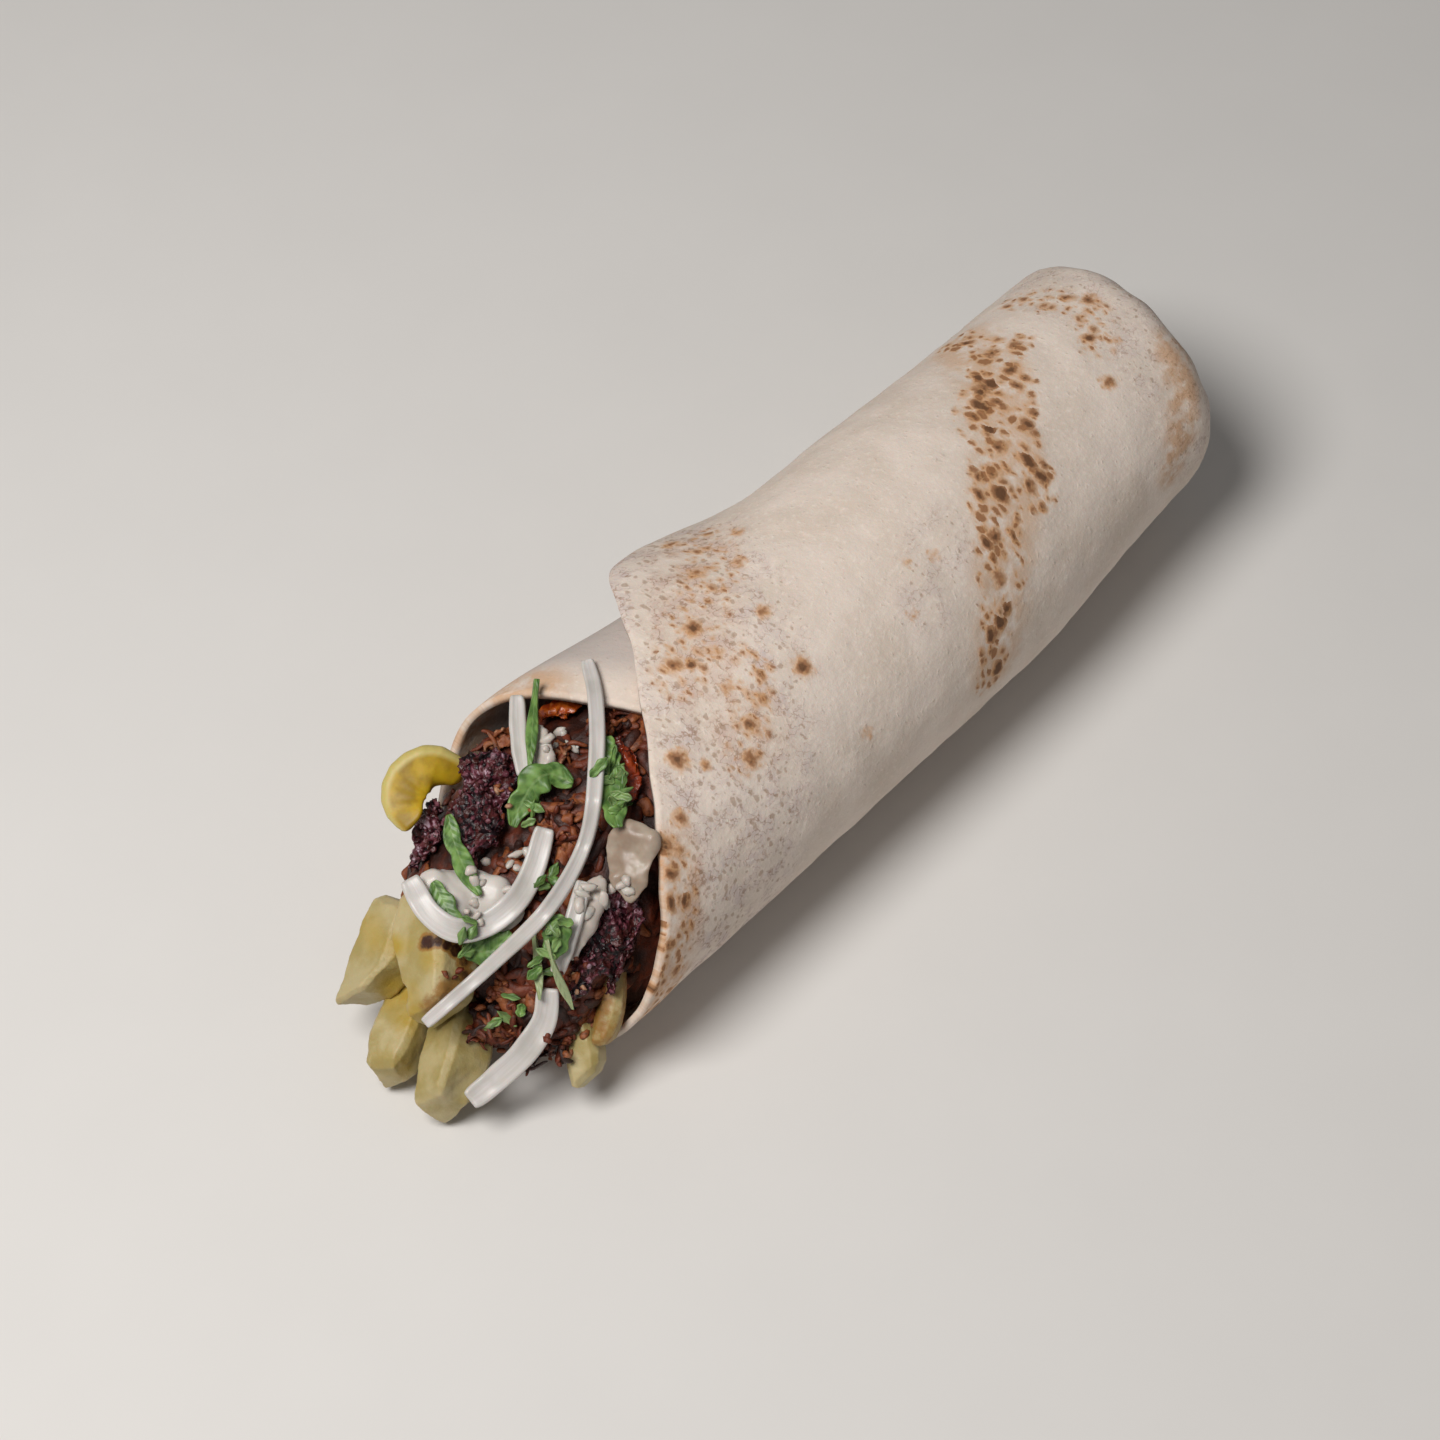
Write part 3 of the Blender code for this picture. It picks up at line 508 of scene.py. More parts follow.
bm = bmesh.new()
bmesh.ops.create_uvsphere(bm, u_segments=72, v_segments=36, radius=1.0)
on_sheet = vector_layer(bm, "on_sheet")
griddle = vector_layer(bm, "griddle")
for v in bm.verts:
    angle = math.atan2(v.co.y, v.co.z)
    away = math.hypot(v.co.y, v.co.z)
    fold = away * abs(math.sin(TUCK_FOLDS / 2 * angle + 2.5 * noise.noise(v.co * 1.3)))
    size = 1 + 0.16 * fold + 0.07 * noise.noise(v.co * 3.1)
    v[on_sheet] = (150 + 8 * v.co.y, 8 * v.co.z, 0.0)
    v[griddle] = (0.5, 0.2, 0.5)
    v.co = Vector((v.co.x * TUCK_HALF_SIZE[0] * (0.8 + 0.2 * fold) + END_X - TUCK_SUNK,
                   v.co.y * TUCK_HALF_SIZE[1] * size,
                   v.co.z * TUCK_HALF_SIZE[2] * size + half_width(END_X) * HEIGHT_TO_WIDTH - RESTING_SAG))
show_piece("bread_tuck", bm, BAKED_BREAD, "flatbread")

# ## Shredded filling
# Spit-roast chicken shaved into fine shreds, packed inside the bread and heaped in its mouth. The heap
# is a dark moist core with the shreds that show lying on it in every direction.
FILLING_END_X = 111.0
# The heap along the mouth: x, its width, how far it lifts, how much of its height it has
HEAP = ((-60, 0.32, 7.0, 0.30), (-57, 0.62, 4.0, 0.50), (-52, 0.79, 2.6, 0.65), (-45, 0.89, 2.0, 0.78),
        (-35, 0.95, 2.0, 0.89), (-25, 0.98, 2.0, 0.96), (-15, 1.0, 2.0, 1.0), (-5, 1.0, 2.0, 1.0))
# Where it leans against the flap: turn, spread, how far, from which x, to which x in full
HEAP_SWELL = (300, 30, 3.6, -20, -34)
CAD_BREAD_THICKNESS = 1.6
FIT_GAP = 0.4
HEAP_RELIEF, HEAP_RELIEF_SPAN = 0.09, 7.0
SHRED_COUNT = 980
# Places kept free of loose shreds, seen from the dropping point: across, up, radius
KEPT_CLEAR = ((-50, -18, 6), (-50, -25, 7), (-60, -25, 4.5), (-60, -31, 4.5), (-29, -45, 6.5), (-27, -38, 5),
              (-31, -51, 4), (-25, -18, 3.2), (-37, -6.2, 5), (-24.5, -31.5, 5.5), (-52.5, -39.6, 7),
              (-46, -38, 4.5), (-33, -42, 3.5), (-41.5, -13, 3.5))
SHRED_LENGTH = (3.5, 9.0)
SHRED_RADIUS = (0.6, 1.5)


def filling_depth(angle):
    """How far the filling stays inside the roll's outline, from the sheet's own inner turn."""
    inner = layer_depth(INNER_EDGE_TURN) + CAD_BREAD_THICKNESS + FIT_GAP
    turn = angle % 360
    if turn < 80:
        return inner
    single = layer_depth(turn) + CAD_BREAD_THICKNESS + FIT_GAP
    return inner + (single - inner) * clamp((turn - 80) / 30)


def filling_point(x, angle):
    """A point of the filling's skin, inside the bread where there is bread, sloping in the mouth."""
    turned = math.radians(angle)
    height = half_width(x) * HEIGHT_TO_WIDTH
    floor = CAD_BREAD_THICKNESS + FIT_GAP
    middle, spread, swell, start, full = HEAP_SWELL
    lean = swell * math.exp(-((angle % 360 - middle) / spread) ** 2) * clamp((start - x) / (start - full))
    depth = filling_depth(angle) - lean
    at = Vector((x, 24 * math.sin(turned), 24 * math.cos(turned)))
    crag = clamp(noise.noise(at / HEAP_RELIEF_SPAN) + 0.5) + 0.5 * abs(noise.noise(at / 2.6))
    slack = 1 - HEAP_RELIEF * clamp((2 - x) / 14) * crag
    width, lift, rise = (curve_value([(row[0], row[k]) for row in HEAP], x) for k in (1, 2, 3))
    across = -(half_width(x) - depth) * math.sin(turned) * width * slack
    up = max(height - RESTING_SAG + (height - depth) * math.cos(turned) * slack, floor)
    return settled(x, across, lift + (up - floor) * rise)


def filling_normal(x, angle):
    here = filling_point(x, angle)
    round_it = filling_point(x, angle + 4) - here
    along = filling_point(x + 1.5, angle) - here
    return round_it.cross(along).normalized()


def roast_chicken():
    """Roast chicken shreds: brown to tan fibres, moist, so they glisten along their tops."""
    material, tree = start_material("roast_chicken_shreds", Roughness=0.52, Subsurface_Weight=0.08,
                                    Subsurface_Scale=0.001)
    at = node(tree, "TexCoord").outputs["Object"]
    fibres = node(tree, "TexNoise", {"Vector": at},
                  {"Scale": 1000 / 1.6, "Detail": 5.0, "Roughness": 0.65}).outputs[0]
    seasoning = node(tree, "TexNoise", {"Vector": at}, {"Scale": 1000 / 5.0, "Detail": 3.0}).outputs[0]
    shade = plus(node(tree, "Attribute", attribute_name="tone").outputs["Fac"], swing(seasoning, 1.1))
    colour = layered("#2c1108", (shade, 0.0, 0.40, "#6b2c14"), (shade, 0.38, 0.72, "#94532b"),
                     (shade, 0.74, 1.0, "#bd9272"), (fibres, 0.52, 0.34, "#2e140c", 0.7))
    return finish_material(material, colour, fibres, 0.7, 0.0006)


def roughen(bm, *waves):
    """Moves the skin in and out by waves of noise, each a height and a span."""
    bm.normal_update()
    for v in bm.verts:
        v.co += v.normal * sum(height * noise.noise(v.co / span) for height, span in waves)


def set_tone(bm, tone_of):
    """Writes how light each point of a piece is, which its material reads."""
    layer = float_layer(bm, "tone")
    for v in bm.verts:
        v[layer] = tone_of(v)


ROAST_CHICKEN = roast_chicken()
bm = bmesh.new()
bmesh.ops.create_uvsphere(bm, u_segments=150, v_segments=170, radius=1.0)
for v in bm.verts:
    latitude = math.asin(min(max(v.co.z, -1), 1)) / math.pi + 0.5
    x = HEAP[0][0] + (FILLING_END_X - HEAP[0][0]) * (0.62 * latitude + 0.38 * latitude ** 2)
    if abs(v.co.z) > 0.9999:
        v.co = (filling_point(x, 0) + filling_point(x, 180)) / 2
    else:
        v.co = filling_point(x, math.degrees(math.atan2(v.co.y, v.co.x)))
roughen(bm, (0.8, 2.1), (0.5, 0.9))
bmesh.ops.recalc_face_normals(bm, faces=bm.faces)
set_tone(bm, lambda v: 0.10 + 0.35 * noise.noise(v.co / 6))
show_piece("filling_core", bm, ROAST_CHICKEN, "roast_chicken", "shredded_filling")

# Everything in the mouth is laid from one point above it
DROP_AZIMUTH, DROP_ELEVATION, DROP_DISTANCE = -49.0, 53.0, 700.0
DROP_TARGET = Vector((20.0, 0.0, 25.0))


def drop_axes():
    """The dropping direction's own axes: across, up, and back towards the starting point."""
    azimuth, elevation = math.radians(DROP_AZIMUTH), math.radians(DROP_ELEVATION)
    back = Vector((math.sin(azimuth) * math.cos(elevation), -math.cos(azimuth) * math.cos(elevation),
                   math.sin(elevation)))
    across = Vector((math.cos(azimuth), math.sin(azimuth), 0.0))
    return across, back.cross(across), back


ACROSS, UP, BACK = drop_axes()
DROP_POINT = DROP_TARGET + BACK * DROP_DISTANCE


def drop_direction(place):
    return (DROP_TARGET + ACROSS * place[0] + UP * place[1] - DROP_POINT).normalized()


def seen_at(point):
    """Where a point lies as seen from the dropping point: millimetres across and up."""
    ray = point - DROP_POINT
    far = -ray.dot(BACK)
    ray = ray * (DROP_DISTANCE / far)
    return Vector((ray.dot(ACROSS), ray.dot(UP)))


def seen_from(point, mark):
    """How far a point looks to be from a mark, which starts with its across and up."""
    return (seen_at(point) - Vector(mark[:2])).length


def turned_about(along, out):
    """A direction square to out, turned by chance from the given one."""
    turn = random.uniform(0, math.tau)
    return along * math.cos(turn) + out.cross(along) * math.sin(turn)


def shred_template():
    """One shred before it is bent: a square bar from -1 to 1, its ends pulled thin."""
    bm = bmesh.new()
    bmesh.ops.create_cube(bm, size=2.0)
    long_edges = [e for e in bm.edges if abs(e.verts[0].co.x - e.verts[1].co.x) > 1]
    bmesh.ops.subdivide_edges(bm, edges=long_edges, cuts=4, use_grid_fill=True)
    for v in bm.verts:
        taper = 0.62 + 0.38 * (1 - v.co.x ** 2) ** 0.5
        v.co = Vector((v.co.x, v.co.y * taper, v.co.z * taper))
    mesh = bpy.data.meshes.new("shred_template")
    bm.to_mesh(mesh)
    bm.free()
    return mesh


SHRED_TEMPLATE = shred_template()


def add_shred(bm, middle, along, out, length, radius, bend, tone):
    """Lays one bent shred in bm: along its length, with out away from what it lies on."""
    side = along.cross(out).normalized()
    before = len(bm.verts)
    bm.from_mesh(SHRED_TEMPLATE)
    bm.verts.ensure_lookup_table()
    layer = float_layer(bm, "tone")
    phase, flat = random.uniform(0, 6.3), random.uniform(0.4, 0.8)
    for v in bm.verts[before:]:
        t = v.co.x
        drift = side * (bend * length * 0.28 * (t * t - 0.4) + 0.35 * radius * math.sin(4 * t + phase))
        sag = out * (0.10 * length * abs(bend) * (0.5 - t * t)
                     + 0.3 * radius * math.sin(5 * t + 2 * phase))
        v.co = (middle + along * (t * length / 2) + drift + sag
                + side * (v.co.y * radius) + out * (v.co.z * radius * flat))
        v[layer] = tone


def lip_at(angle):
    """Where the innermost layer's lip is at an angle: the heap shows on the mouth's side of it."""
    angle = angle % 360
    return curve_value(LIP_REACH, angle + 360 if angle + 360 <= INNER_EDGE_TURN else angle)


bm = bmesh.new()
float_layer(bm, "tone")
for _ in range(SHRED_COUNT):
    angle = random.uniform(-180, 180)
    reach = min(lip_at(angle), curve_value(LIP_REACH, angle % 360))
    x = random.uniform(-58, reach + 1.0)
    spot, out = filling_point(x, angle), filling_normal(x, angle)
    if any(seen_from(spot, place) < place[2] for place in KEPT_CLEAR):
        continue
    along = turned_about(out.orthogonal().normalized(), out)
    radius = random.uniform(*SHRED_RADIUS)
    add_shred(bm, spot + out * radius * 0.25, along, out, random.uniform(*SHRED_LENGTH), radius,
              random.uniform(-1, 1), random.uniform(0.05, 0.75))
shreds = show_piece("loose_shreds", bm, ROAST_CHICKEN, "roast_chicken")
add_smoothing(shreds, 1)

# ## Potato fries
# Square-cut potato sticks, deep-fried pale gold. Their edges and ends brown first, and the skin dries
# to a fine crackle.
FRIES = 6
FRY_GRAIN = 0.33
# Seared places, seen from the dropping point: across, up, radius, strength
SEARED = ((-60.5, -46.9, 1.7, 1.5), (-58.8, -46.8, 1.5, 1.3), (-57.2, -47.4, 1.5, 1.3),
          (-55.6, -48.3, 1.7, 1.4), (-54.2, -50.2, 1.9, 1.0), (-53.8, -52.8, 2.0, 0.9),
          (-56.8, -55.6, 3.6, 0.75), (-59.5, -58.0, 3.0, 0.55), (-61.4, -47.6, 1.3, 0.9),
          (-53.0, -61.5, 3.0, 0.45), (-30.5, -56.0, 3.2, 0.55), (-73.6, -71.2, 2.2, 0.5))
# Yellow glow of the thin edges: the same numbers
GLOWING = ((-66.8, -48.0, 3.2, 1.0), (-64.6, -56.0, 3.4, 1.0), (-64.0, -60.5, 3.0, 0.9),
           (-66.5, -55.5, 3.6, 1.0), (-70.5, -46.0, 4.0, 0.7), (-59.5, -50.5, 3.0, 0.6),
           (-62.5, -59.0, 2.5, 0.8), (-64.5, -70.0, 2.2, 0.7))
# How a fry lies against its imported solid, seen from the dropping point: across, up
SETTLED_FRIES = {"potato_fry_1": (1.8, -5.1)}
# Slanted cut ends: the fry, then across, up, radius, and how far that place is moved across and up
SLANTED = {
    "potato_fry_1": ((-71.6, -60.0, 5.5, -0.4, 2.4), (-64.5, -58.5, 5.5, -1.4, 3.6),
                     (-71.4, -41.2, 6.0, -3.2, 0.4), (-74.0, -48.5, 5.5, -1.6, 0.0)),
    "potato_fry_2": ((-65.8, -45.5, 5.5, -2.4, 0.0), (-66.4, -59.2, 4.0, 1.6, 2.8)),
    "potato_fry_3": ((-74.0, -68.7, 5.0, 1.0, 2.2), (-70.8, -72.1, 4.4, 1.8, -0.2),
                     (-63.6, -70.4, 3.4, -1.2, -0.2)),
    "potato_fry_4": ((-64.5, -75.2, 4.6, 1.0, 2.4), (-52.5, -73.8, 3.6, -1.8, 0.6)),
}
# Fries that are browned all over, and how much
GOLDEN = {"potato_fry_6": 0.42, "potato_fry_5": 0.08}


def remeshed(name, grain):
    """A copy of a CAD solid in roll millimetres, rebuilt as even quads of the given size."""
    copy = bpy.data.objects.new("copy", frame["nodes"][name].data.copy())
    put_in_scene(copy)
    bm = bmesh.new()
    bm.from_mesh(copy.data)
    bmesh.ops.remove_doubles(bm, verts=bm.verts, dist=0.00001)
    bm.to_mesh(copy.data)
    bm.free()
    even = copy.modifiers.new("even", "REMESH")
    even.mode = "VOXEL"
    even.voxel_size = grain * MM
    bpy.context.view_layer.update()
    mesh = bpy.data.meshes.new_from_object(copy.evaluated_get(bpy.context.evaluated_depsgraph_get()))
    bpy.data.objects.remove(copy, do_unlink=True)
    bm = bmesh.new()
    bm.from_mesh(mesh)
    bpy.data.meshes.remove(mesh)
    for v in bm.verts:
        v.co = (v.co - OFFSET) / MM
    return bm


def soften(bm, passes):
    """Evens the skin out."""
    for _ in range(passes):
        bmesh.ops.smooth_vert(bm, verts=bm.verts, factor=0.5,
                              use_axis_x=True, use_axis_y=True, use_axis_z=True)
    bm.normal_update()


RIDGE_GAIN = 6.0


# This ridge measure is the mask for painted highlights on ridges and painted shade in hollows in the fries'
# and the chickens' materials.
def hollowness(bm):
    """Writes to the layer 'ridge' how far each point stands out from its neighbours, from 0 to 1."""
    layer = float_layer(bm, "ridge")
    for v in bm.verts:
        around = sum((e.other_vert(v).co for e in v.link_edges), Vector()) / max(len(v.link_edges), 1)
        v[layer] = clamp(0.5 + (v.co - around).dot(v.normal) * RIDGE_GAIN)


def marked_at(point, marks):
    """How strongly a point is marked: the strongest of the marks that it lies in."""
    return max(mark[3] * clamp(1.3 - seen_from(point, mark) / mark[2]) for mark in marks)


def fried_potato():
    """Deep-fried potato: soft yellow flesh under a thin crisp skin, browned on the edges and painted lighter
    along the ridges as a highlight.
    """
    material, tree = start_material("potato_deep_fried", Roughness=0.48, Subsurface_Weight=0.15,
                                    Subsurface_Scale=0.002)
    at = node(tree, "TexCoord").outputs["Object"]
    cloudy = node(tree, "TexNoise", {"Vector": at}, {"Scale": 1000 / 6, "Detail": 4.0}).outputs[0]
    crackle = node(tree, "TexNoise", {"Vector": at},
                   {"Scale": 1000 / 1.3, "Detail": 5.0, "Roughness": 0.65}).outputs[0]
    ridge = node(tree, "Attribute", attribute_name="ridge").outputs["Fac"]
    glow = node(tree, "Attribute", attribute_name="glow").outputs["Fac"]
    shade = plus(node(tree, "Attribute", attribute_name="browned").outputs["Fac"], swing(crackle, 0.7))
    # Lighter on the ridges that stand out: a painted highlight along the fries' edges.
    colour = layered("#b8a87a", (cloudy, 0.38, 0.65, "#a39158"), (ridge, 0.58, 0.80, "#c9b98c", 0.35))
    colour = cover(colour, glow, "#ac8d22", 0.85)
    colour = layered(colour, (shade, 0.25, 0.60, "#93641f", 0.85), (shade, 0.62, 1.0, "#38190a"))
    return finish_material(material, colour, crackle, 0.35, 0.0006)


FRIED_POTATO = fried_potato()
for number in range(FRIES):
    name = "potato_fry_%d" % (number + 1)
    bm = remeshed(name, FRY_GRAIN)
    across, up = SETTLED_FRIES.get(name, (0.0, 0.0))
    for v in bm.verts:
        v.co += ACROSS * across + UP * up
        place = seen_at(v.co)
        for *mark, radius, over, lift in SLANTED.get(name, ()):
            share = math.exp(-((place - Vector(mark)).length / radius) ** 2)
            v.co += (ACROSS * over + UP * lift) * share
    bm.normal_update()
    for v in bm.verts:
        bulge = 0.22 * noise.noise(v.co / 4 + Vector((number, 0, 0)))
        v.co += v.normal * (bulge + 0.09 * noise.noise(v.co / 1.2))
    bm.normal_update()
    hollowness(bm)
    browned, glow = float_layer(bm, "browned"), float_layer(bm, "glow")
    for v in bm.verts:
        patches = 0.25 * noise.noise(v.co / 7 + Vector((0, number * 3, 0)))
        v[browned] = clamp(GOLDEN.get(name, 0.0) + patches + marked_at(v.co, SEARED))
        v[glow] = clamp(marked_at(v.co, GLOWING) + 0.5 * noise.noise(v.co / 5) - 0.1)
    show_piece("fried_" + name, bm, FRIED_POTATO, "fried_potato", name)

# ## Curved yellow slice
# A curved piece of pale-skinned yellow pickle that hangs over the lip on the far side. Its cut face is
# wet and deep yellow, and its outer skin pale.


def pickled_yellow():
    """Yellow pickle: cloudy deep yellow flesh, paling to the skin at its rim."""
    material, tree = start_material("yellow_pickle_cut", Roughness=0.5, Subsurface_Weight=0.2,
                                    Subsurface_Scale=0.002)
    at = node(tree, "TexCoord").outputs["Object"]
    cloudy = node(tree, "TexNoise", {"Vector": at}, {"Scale": 1000 / 4, "Detail": 4.0}).outputs[0]
    shade = plus(node(tree, "Attribute", attribute_name="skin").outputs["Fac"], swing(cloudy, 0.3))
    colour = layered("#bd9a14", (cloudy, 0.36, 0.66, "#96760a"), (shade, 0.42, 0.80, "#c2b168"))
    return finish_material(material, colour, cloudy, 0.1, 0.0008)


# The solid's curved band is drawn in to a half moon round this centre, seen from the dropping point
SLICE_CENTRE = Vector((-60.5, -21.0))
SLICE_BAND = (4.0, 13.2)
SLICE_HALF_MOON = (0.9, 10.3)
SLICE_STRETCH, SLICE_INNER_END = 1.14, 33
SKIN_FROM, SKIN_WIDTH = 5.8, 3.0
bm = remeshed("yellow_slice", 0.4)
soften(bm, 8)
for v in bm.verts:
    place, far = seen_at(v.co) - SLICE_CENTRE, (v.co - DROP_POINT).length
    share = clamp((place.length - SLICE_BAND[0]) / (SLICE_BAND[1] - SLICE_BAND[0]))
    reach = SLICE_HALF_MOON[0] + share * (SLICE_HALF_MOON[1] - SLICE_HALF_MOON[0])
    round_it = (math.degrees(math.atan2(place.y, place.x)) + 60) % 360 - 60 - SLICE_INNER_END
    round_it = math.radians(SLICE_INNER_END + round_it * SLICE_STRETCH)
    moved = SLICE_CENTRE + Vector((math.cos(round_it), math.sin(round_it))) * reach
    v.co = DROP_POINT + drop_direction(moved) * far
bm.normal_update()
layer = float_layer(bm, "skin")
for v in bm.verts:
    from_centre = (seen_at(v.co) - SLICE_CENTRE).length
    v.co += v.normal * 0.12 * noise.noise(v.co / 3)
    v[layer] = clamp((from_centre - SKIN_FROM) / SKIN_WIDTH)
show_piece("pickle_slice", bm, pickled_yellow(), "yellow_slice", "yellow_slice")

# ## Charred chicken
# Chunks of chicken from the outside of the spit, burnt nearly black with a purple cast and crusted with
# crumbs of fat and spice, which sparkle.
MEAT_GRAIN = 0.42
# Each chunk's tone and how many crumbs are on it
CHARRED = {"charred_chicken_1": (0.0, 190), "charred_chicken_2": (0.10, 90),
           "charred_chicken_3": (-0.05, 190)}
CRUMB_SIZE = (0.22, 0.6)
# The ridge value the crumbs are given, which lightens them towards the painted highlight colours.
CRUMB_RIDGE = 0.6
# Where a chunk lies higher, seen from the dropping point: below which line, how much, how far down
RAISED_BELOW = {"charred_chicken_1": (-21.0, 3.6, 2.0), "charred_chicken_3": (-44.0, 1.2, 0.5)}


def charred_meat():
    """Charred chicken crust: near black, darkest in the hollows as painted shade, and purple-brown to pinkish
    on the ridges as painted highlights.
    """
    material, tree = start_material("chicken_charred_crust", Roughness=0.34)
    at = node(tree, "TexCoord").outputs["Object"]
    grains = node(tree, "TexVoronoi", {"Vector": at}, {"Scale": 1000 / 1.3, "Randomness": 1.0})
    patchy = node(tree, "TexNoise", {"Vector": at},
                  {"Scale": 1000 / 3.2, "Detail": 5.0, "Roughness": 0.7}).outputs[0]
    ridge = node(tree, "Attribute", attribute_name="ridge").outputs["Fac"]
    tone = node(tree, "Attribute", attribute_name="tone").outputs["Fac"]
    # Painted highlight and shade: the ridges lighten the crust and the hollows darken it, on top of its
    # random tone.
    shade = plus(times(ridge, 0.55), plus(tone, times(patchy, 0.6)))
    chance = node(tree, "SeparateColor", {0: grains.outputs["Color"]}).outputs[0]
    # The lighter purple and pinkish colours come partly from random tone and partly from the ridges, as a
    # painted highlight.
    colour = layered("#12050a", (shade, 0.38, 0.66, "#4c1a22"), (shade, 0.66, 0.86, "#74404c"),
                     (shade, 0.88, 1.04, "#b59ba8"), (chance, 0.62, 0.80, "#54221a", 0.5))
    return finish_material(material, colour, plus(grains.outputs["Distance"], patchy), 0.8, 0.0009)


def crag(bm, big, big_span, small, small_span, seed):
    """Breaks a smooth lump up: torn hollows of the big span with a crust of the small span on them."""
    bm.normal_update()
    moves = []
    for v in bm.verts:
        at = v.co + Vector((seed * 17.0, seed * 5.0, seed * 3.0))
        torn = noise.turbulence(at / big_span, 3, False) - 0.55
        crust = abs(noise.noise(at / small_span)) + 0.5 * abs(noise.noise(at * 2.3 / small_span)) - 0.4
        moves.append(v.normal * (big * torn + small * crust))
    for v, move in zip(bm.verts, moves):
        v.co += move
    bm.normal_update()


def add_crumbs(bm, host, count, sizes, tone_of):
    """Sets small faceted crumbs on the host's upper skin, half sunk."""
    faces = list(host.faces)
    layer = float_layer(bm, "tone")
    for _ in range(count):
        face = random.choice(faces)
        if face.normal.z < -0.3:
            continue
        made = bmesh.ops.create_icosphere(bm, subdivisions=1, radius=random.uniform(*sizes))
        centre = face.calc_center_median() + face.normal * 0.15
        stretch = Vector([random.uniform(0.6, 1.5) for _ in range(3)])
        tone = tone_of()
        for v in made["verts"]:
            v.co = centre + v.co * stretch * (1 + 0.5 * noise.noise(v.co * 3 + centre))
            v[layer] = tone


CHARRED_MEAT = charred_meat()
crust = bmesh.new()
float_layer(crust, "tone")
for seed, (name, (tone, crumb_count)) in enumerate(CHARRED.items()):
    bm = remeshed(name, MEAT_GRAIN)
    if name in RAISED_BELOW:
        top, rise, stretch = RAISED_BELOW[name]
        for v in bm.verts:
            v.co += (BACK * rise - UP * stretch) * clamp((top - seen_at(v.co).y) / 8)
    crag(bm, 1.5, 4.2, 0.55, 1.1, seed)
    hollowness(bm)
    set_tone(bm, lambda v: tone + 0.35 * noise.noise(v.co / 5))
    add_crumbs(crust, bm, crumb_count, CRUMB_SIZE, lambda: random.uniform(-0.3, 0.32))
    show_piece("burnt_" + name, bm, CHARRED_MEAT, "charred_chicken", name)
# The crumbs get a middling ridge, so they take part of the painted highlight.
layer = float_layer(crust, "ridge")
for v in crust.verts:
    v[layer] = CRUMB_RIDGE
show_piece("charred_crumbs", crust, CHARRED_MEAT, "charred_chicken")

# ## Glazed chicken
# Slices from the marinated outside of the spit: orange-red with spice and oil, smooth and shiny where
# the glaze pools, dark at the seared edges.
GLAZED_LIFT = 0.9


def glazed_meat():
    """Chicken glaze: wet orange-red, dark where it seared, a little lighter on the ridges and darker in the
    hollows as painted highlight and shade.
    """
    material, tree = start_material("chicken_spiced_glaze", Roughness=0.28, Coat_Weight=0.35,
                                    Coat_Roughness=0.15)
    at = node(tree, "TexCoord").outputs["Object"]
    patchy = node(tree, "TexNoise", {"Vector": at},
                  {"Scale": 1000 / 3.0, "Detail": 5.0, "Roughness": 0.65}).outputs[0]
    ridge = node(tree, "Attribute", attribute_name="ridge").outputs["Fac"]
    tone = node(tree, "Attribute", attribute_name="tone").outputs["Fac"]
    # Painted highlight and shade: the ridges push towards the light orange and the hollows towards the dark
    # brown.
    shade = plus(patchy, plus(tone, times(ridge, 0.3)))
    colour = layered("#4a1207", (shade, 0.40, 0.66, "#96340e"), (shade, 0.70, 1.0, "#c0601c"))
    return finish_material(material, colour, patchy, 0.6, 0.001)


GLAZED_MEAT = glazed_meat()
for seed, (name, tone) in enumerate((("glazed_chicken_1", 0.16), ("glazed_chicken_2", -0.06))):
    bm = remeshed(name, 0.4)
    for v in bm.verts:
        v.co += BACK * GLAZED_LIFT
    crag(bm, 1.1, 4.0, 0.25, 1.2, seed + 11)
    hollowness(bm)
    set_tone(bm, lambda v: tone)
    show_piece("glossy_" + name, bm, GLAZED_MEAT, "glazed_chicken", name)

# ## Chicken pieces
# Larger shreds and crumbly bits of the roast chicken lying on the heap, tan to brown, some with a pink
# cast where they are least done.
SHREDDIEST, SHREDS_ON_IT, SHREDS_ON_OTHERS = 3, 46, 16
# How light each piece is
SHRED_TONES = (0.75, 0.42, 0.30, 0.18, 0.55, 0.50, 0.12)
loose = bmesh.new()
float_layer(loose, "tone")
for number, tone in enumerate(SHRED_TONES, start=1):
    name = "chicken_shred_%d" % number
    bm = remeshed(name, MEAT_GRAIN)
    crag(bm, 1.3, 3.4, 0.45, 1.2, number + 20)
    set_tone(bm, lambda v: tone + 0.5 * noise.noise(v.co / 3))
    faces = [f for f in bm.faces if f.normal.z > -0.2]
    for _ in range(SHREDS_ON_IT if number == SHREDDIEST else SHREDS_ON_OTHERS):
        face = random.choice(faces)
        along = turned_about(face.normal.orthogonal().normalized(), face.normal)
        add_shred(loose, face.calc_center_median() + face.normal * 0.3, along, face.normal.copy(),
                  random.uniform(2.5, 6.0), random.uniform(0.4, 0.85), random.uniform(-1, 1),
                  tone + random.uniform(-0.3, 0.3))
    show_piece("torn_" + name, bm, ROAST_CHICKEN, "roast_chicken", name)
lying = show_piece("shreds_on_pieces", loose, ROAST_CHICKEN, "roast_chicken")
add_smoothing(lying, 1)

# ## Garlic sauce
# Whipped garlic sauce, spooned on in blobs: off-white, opaque and glossy, with soft rounded edges.


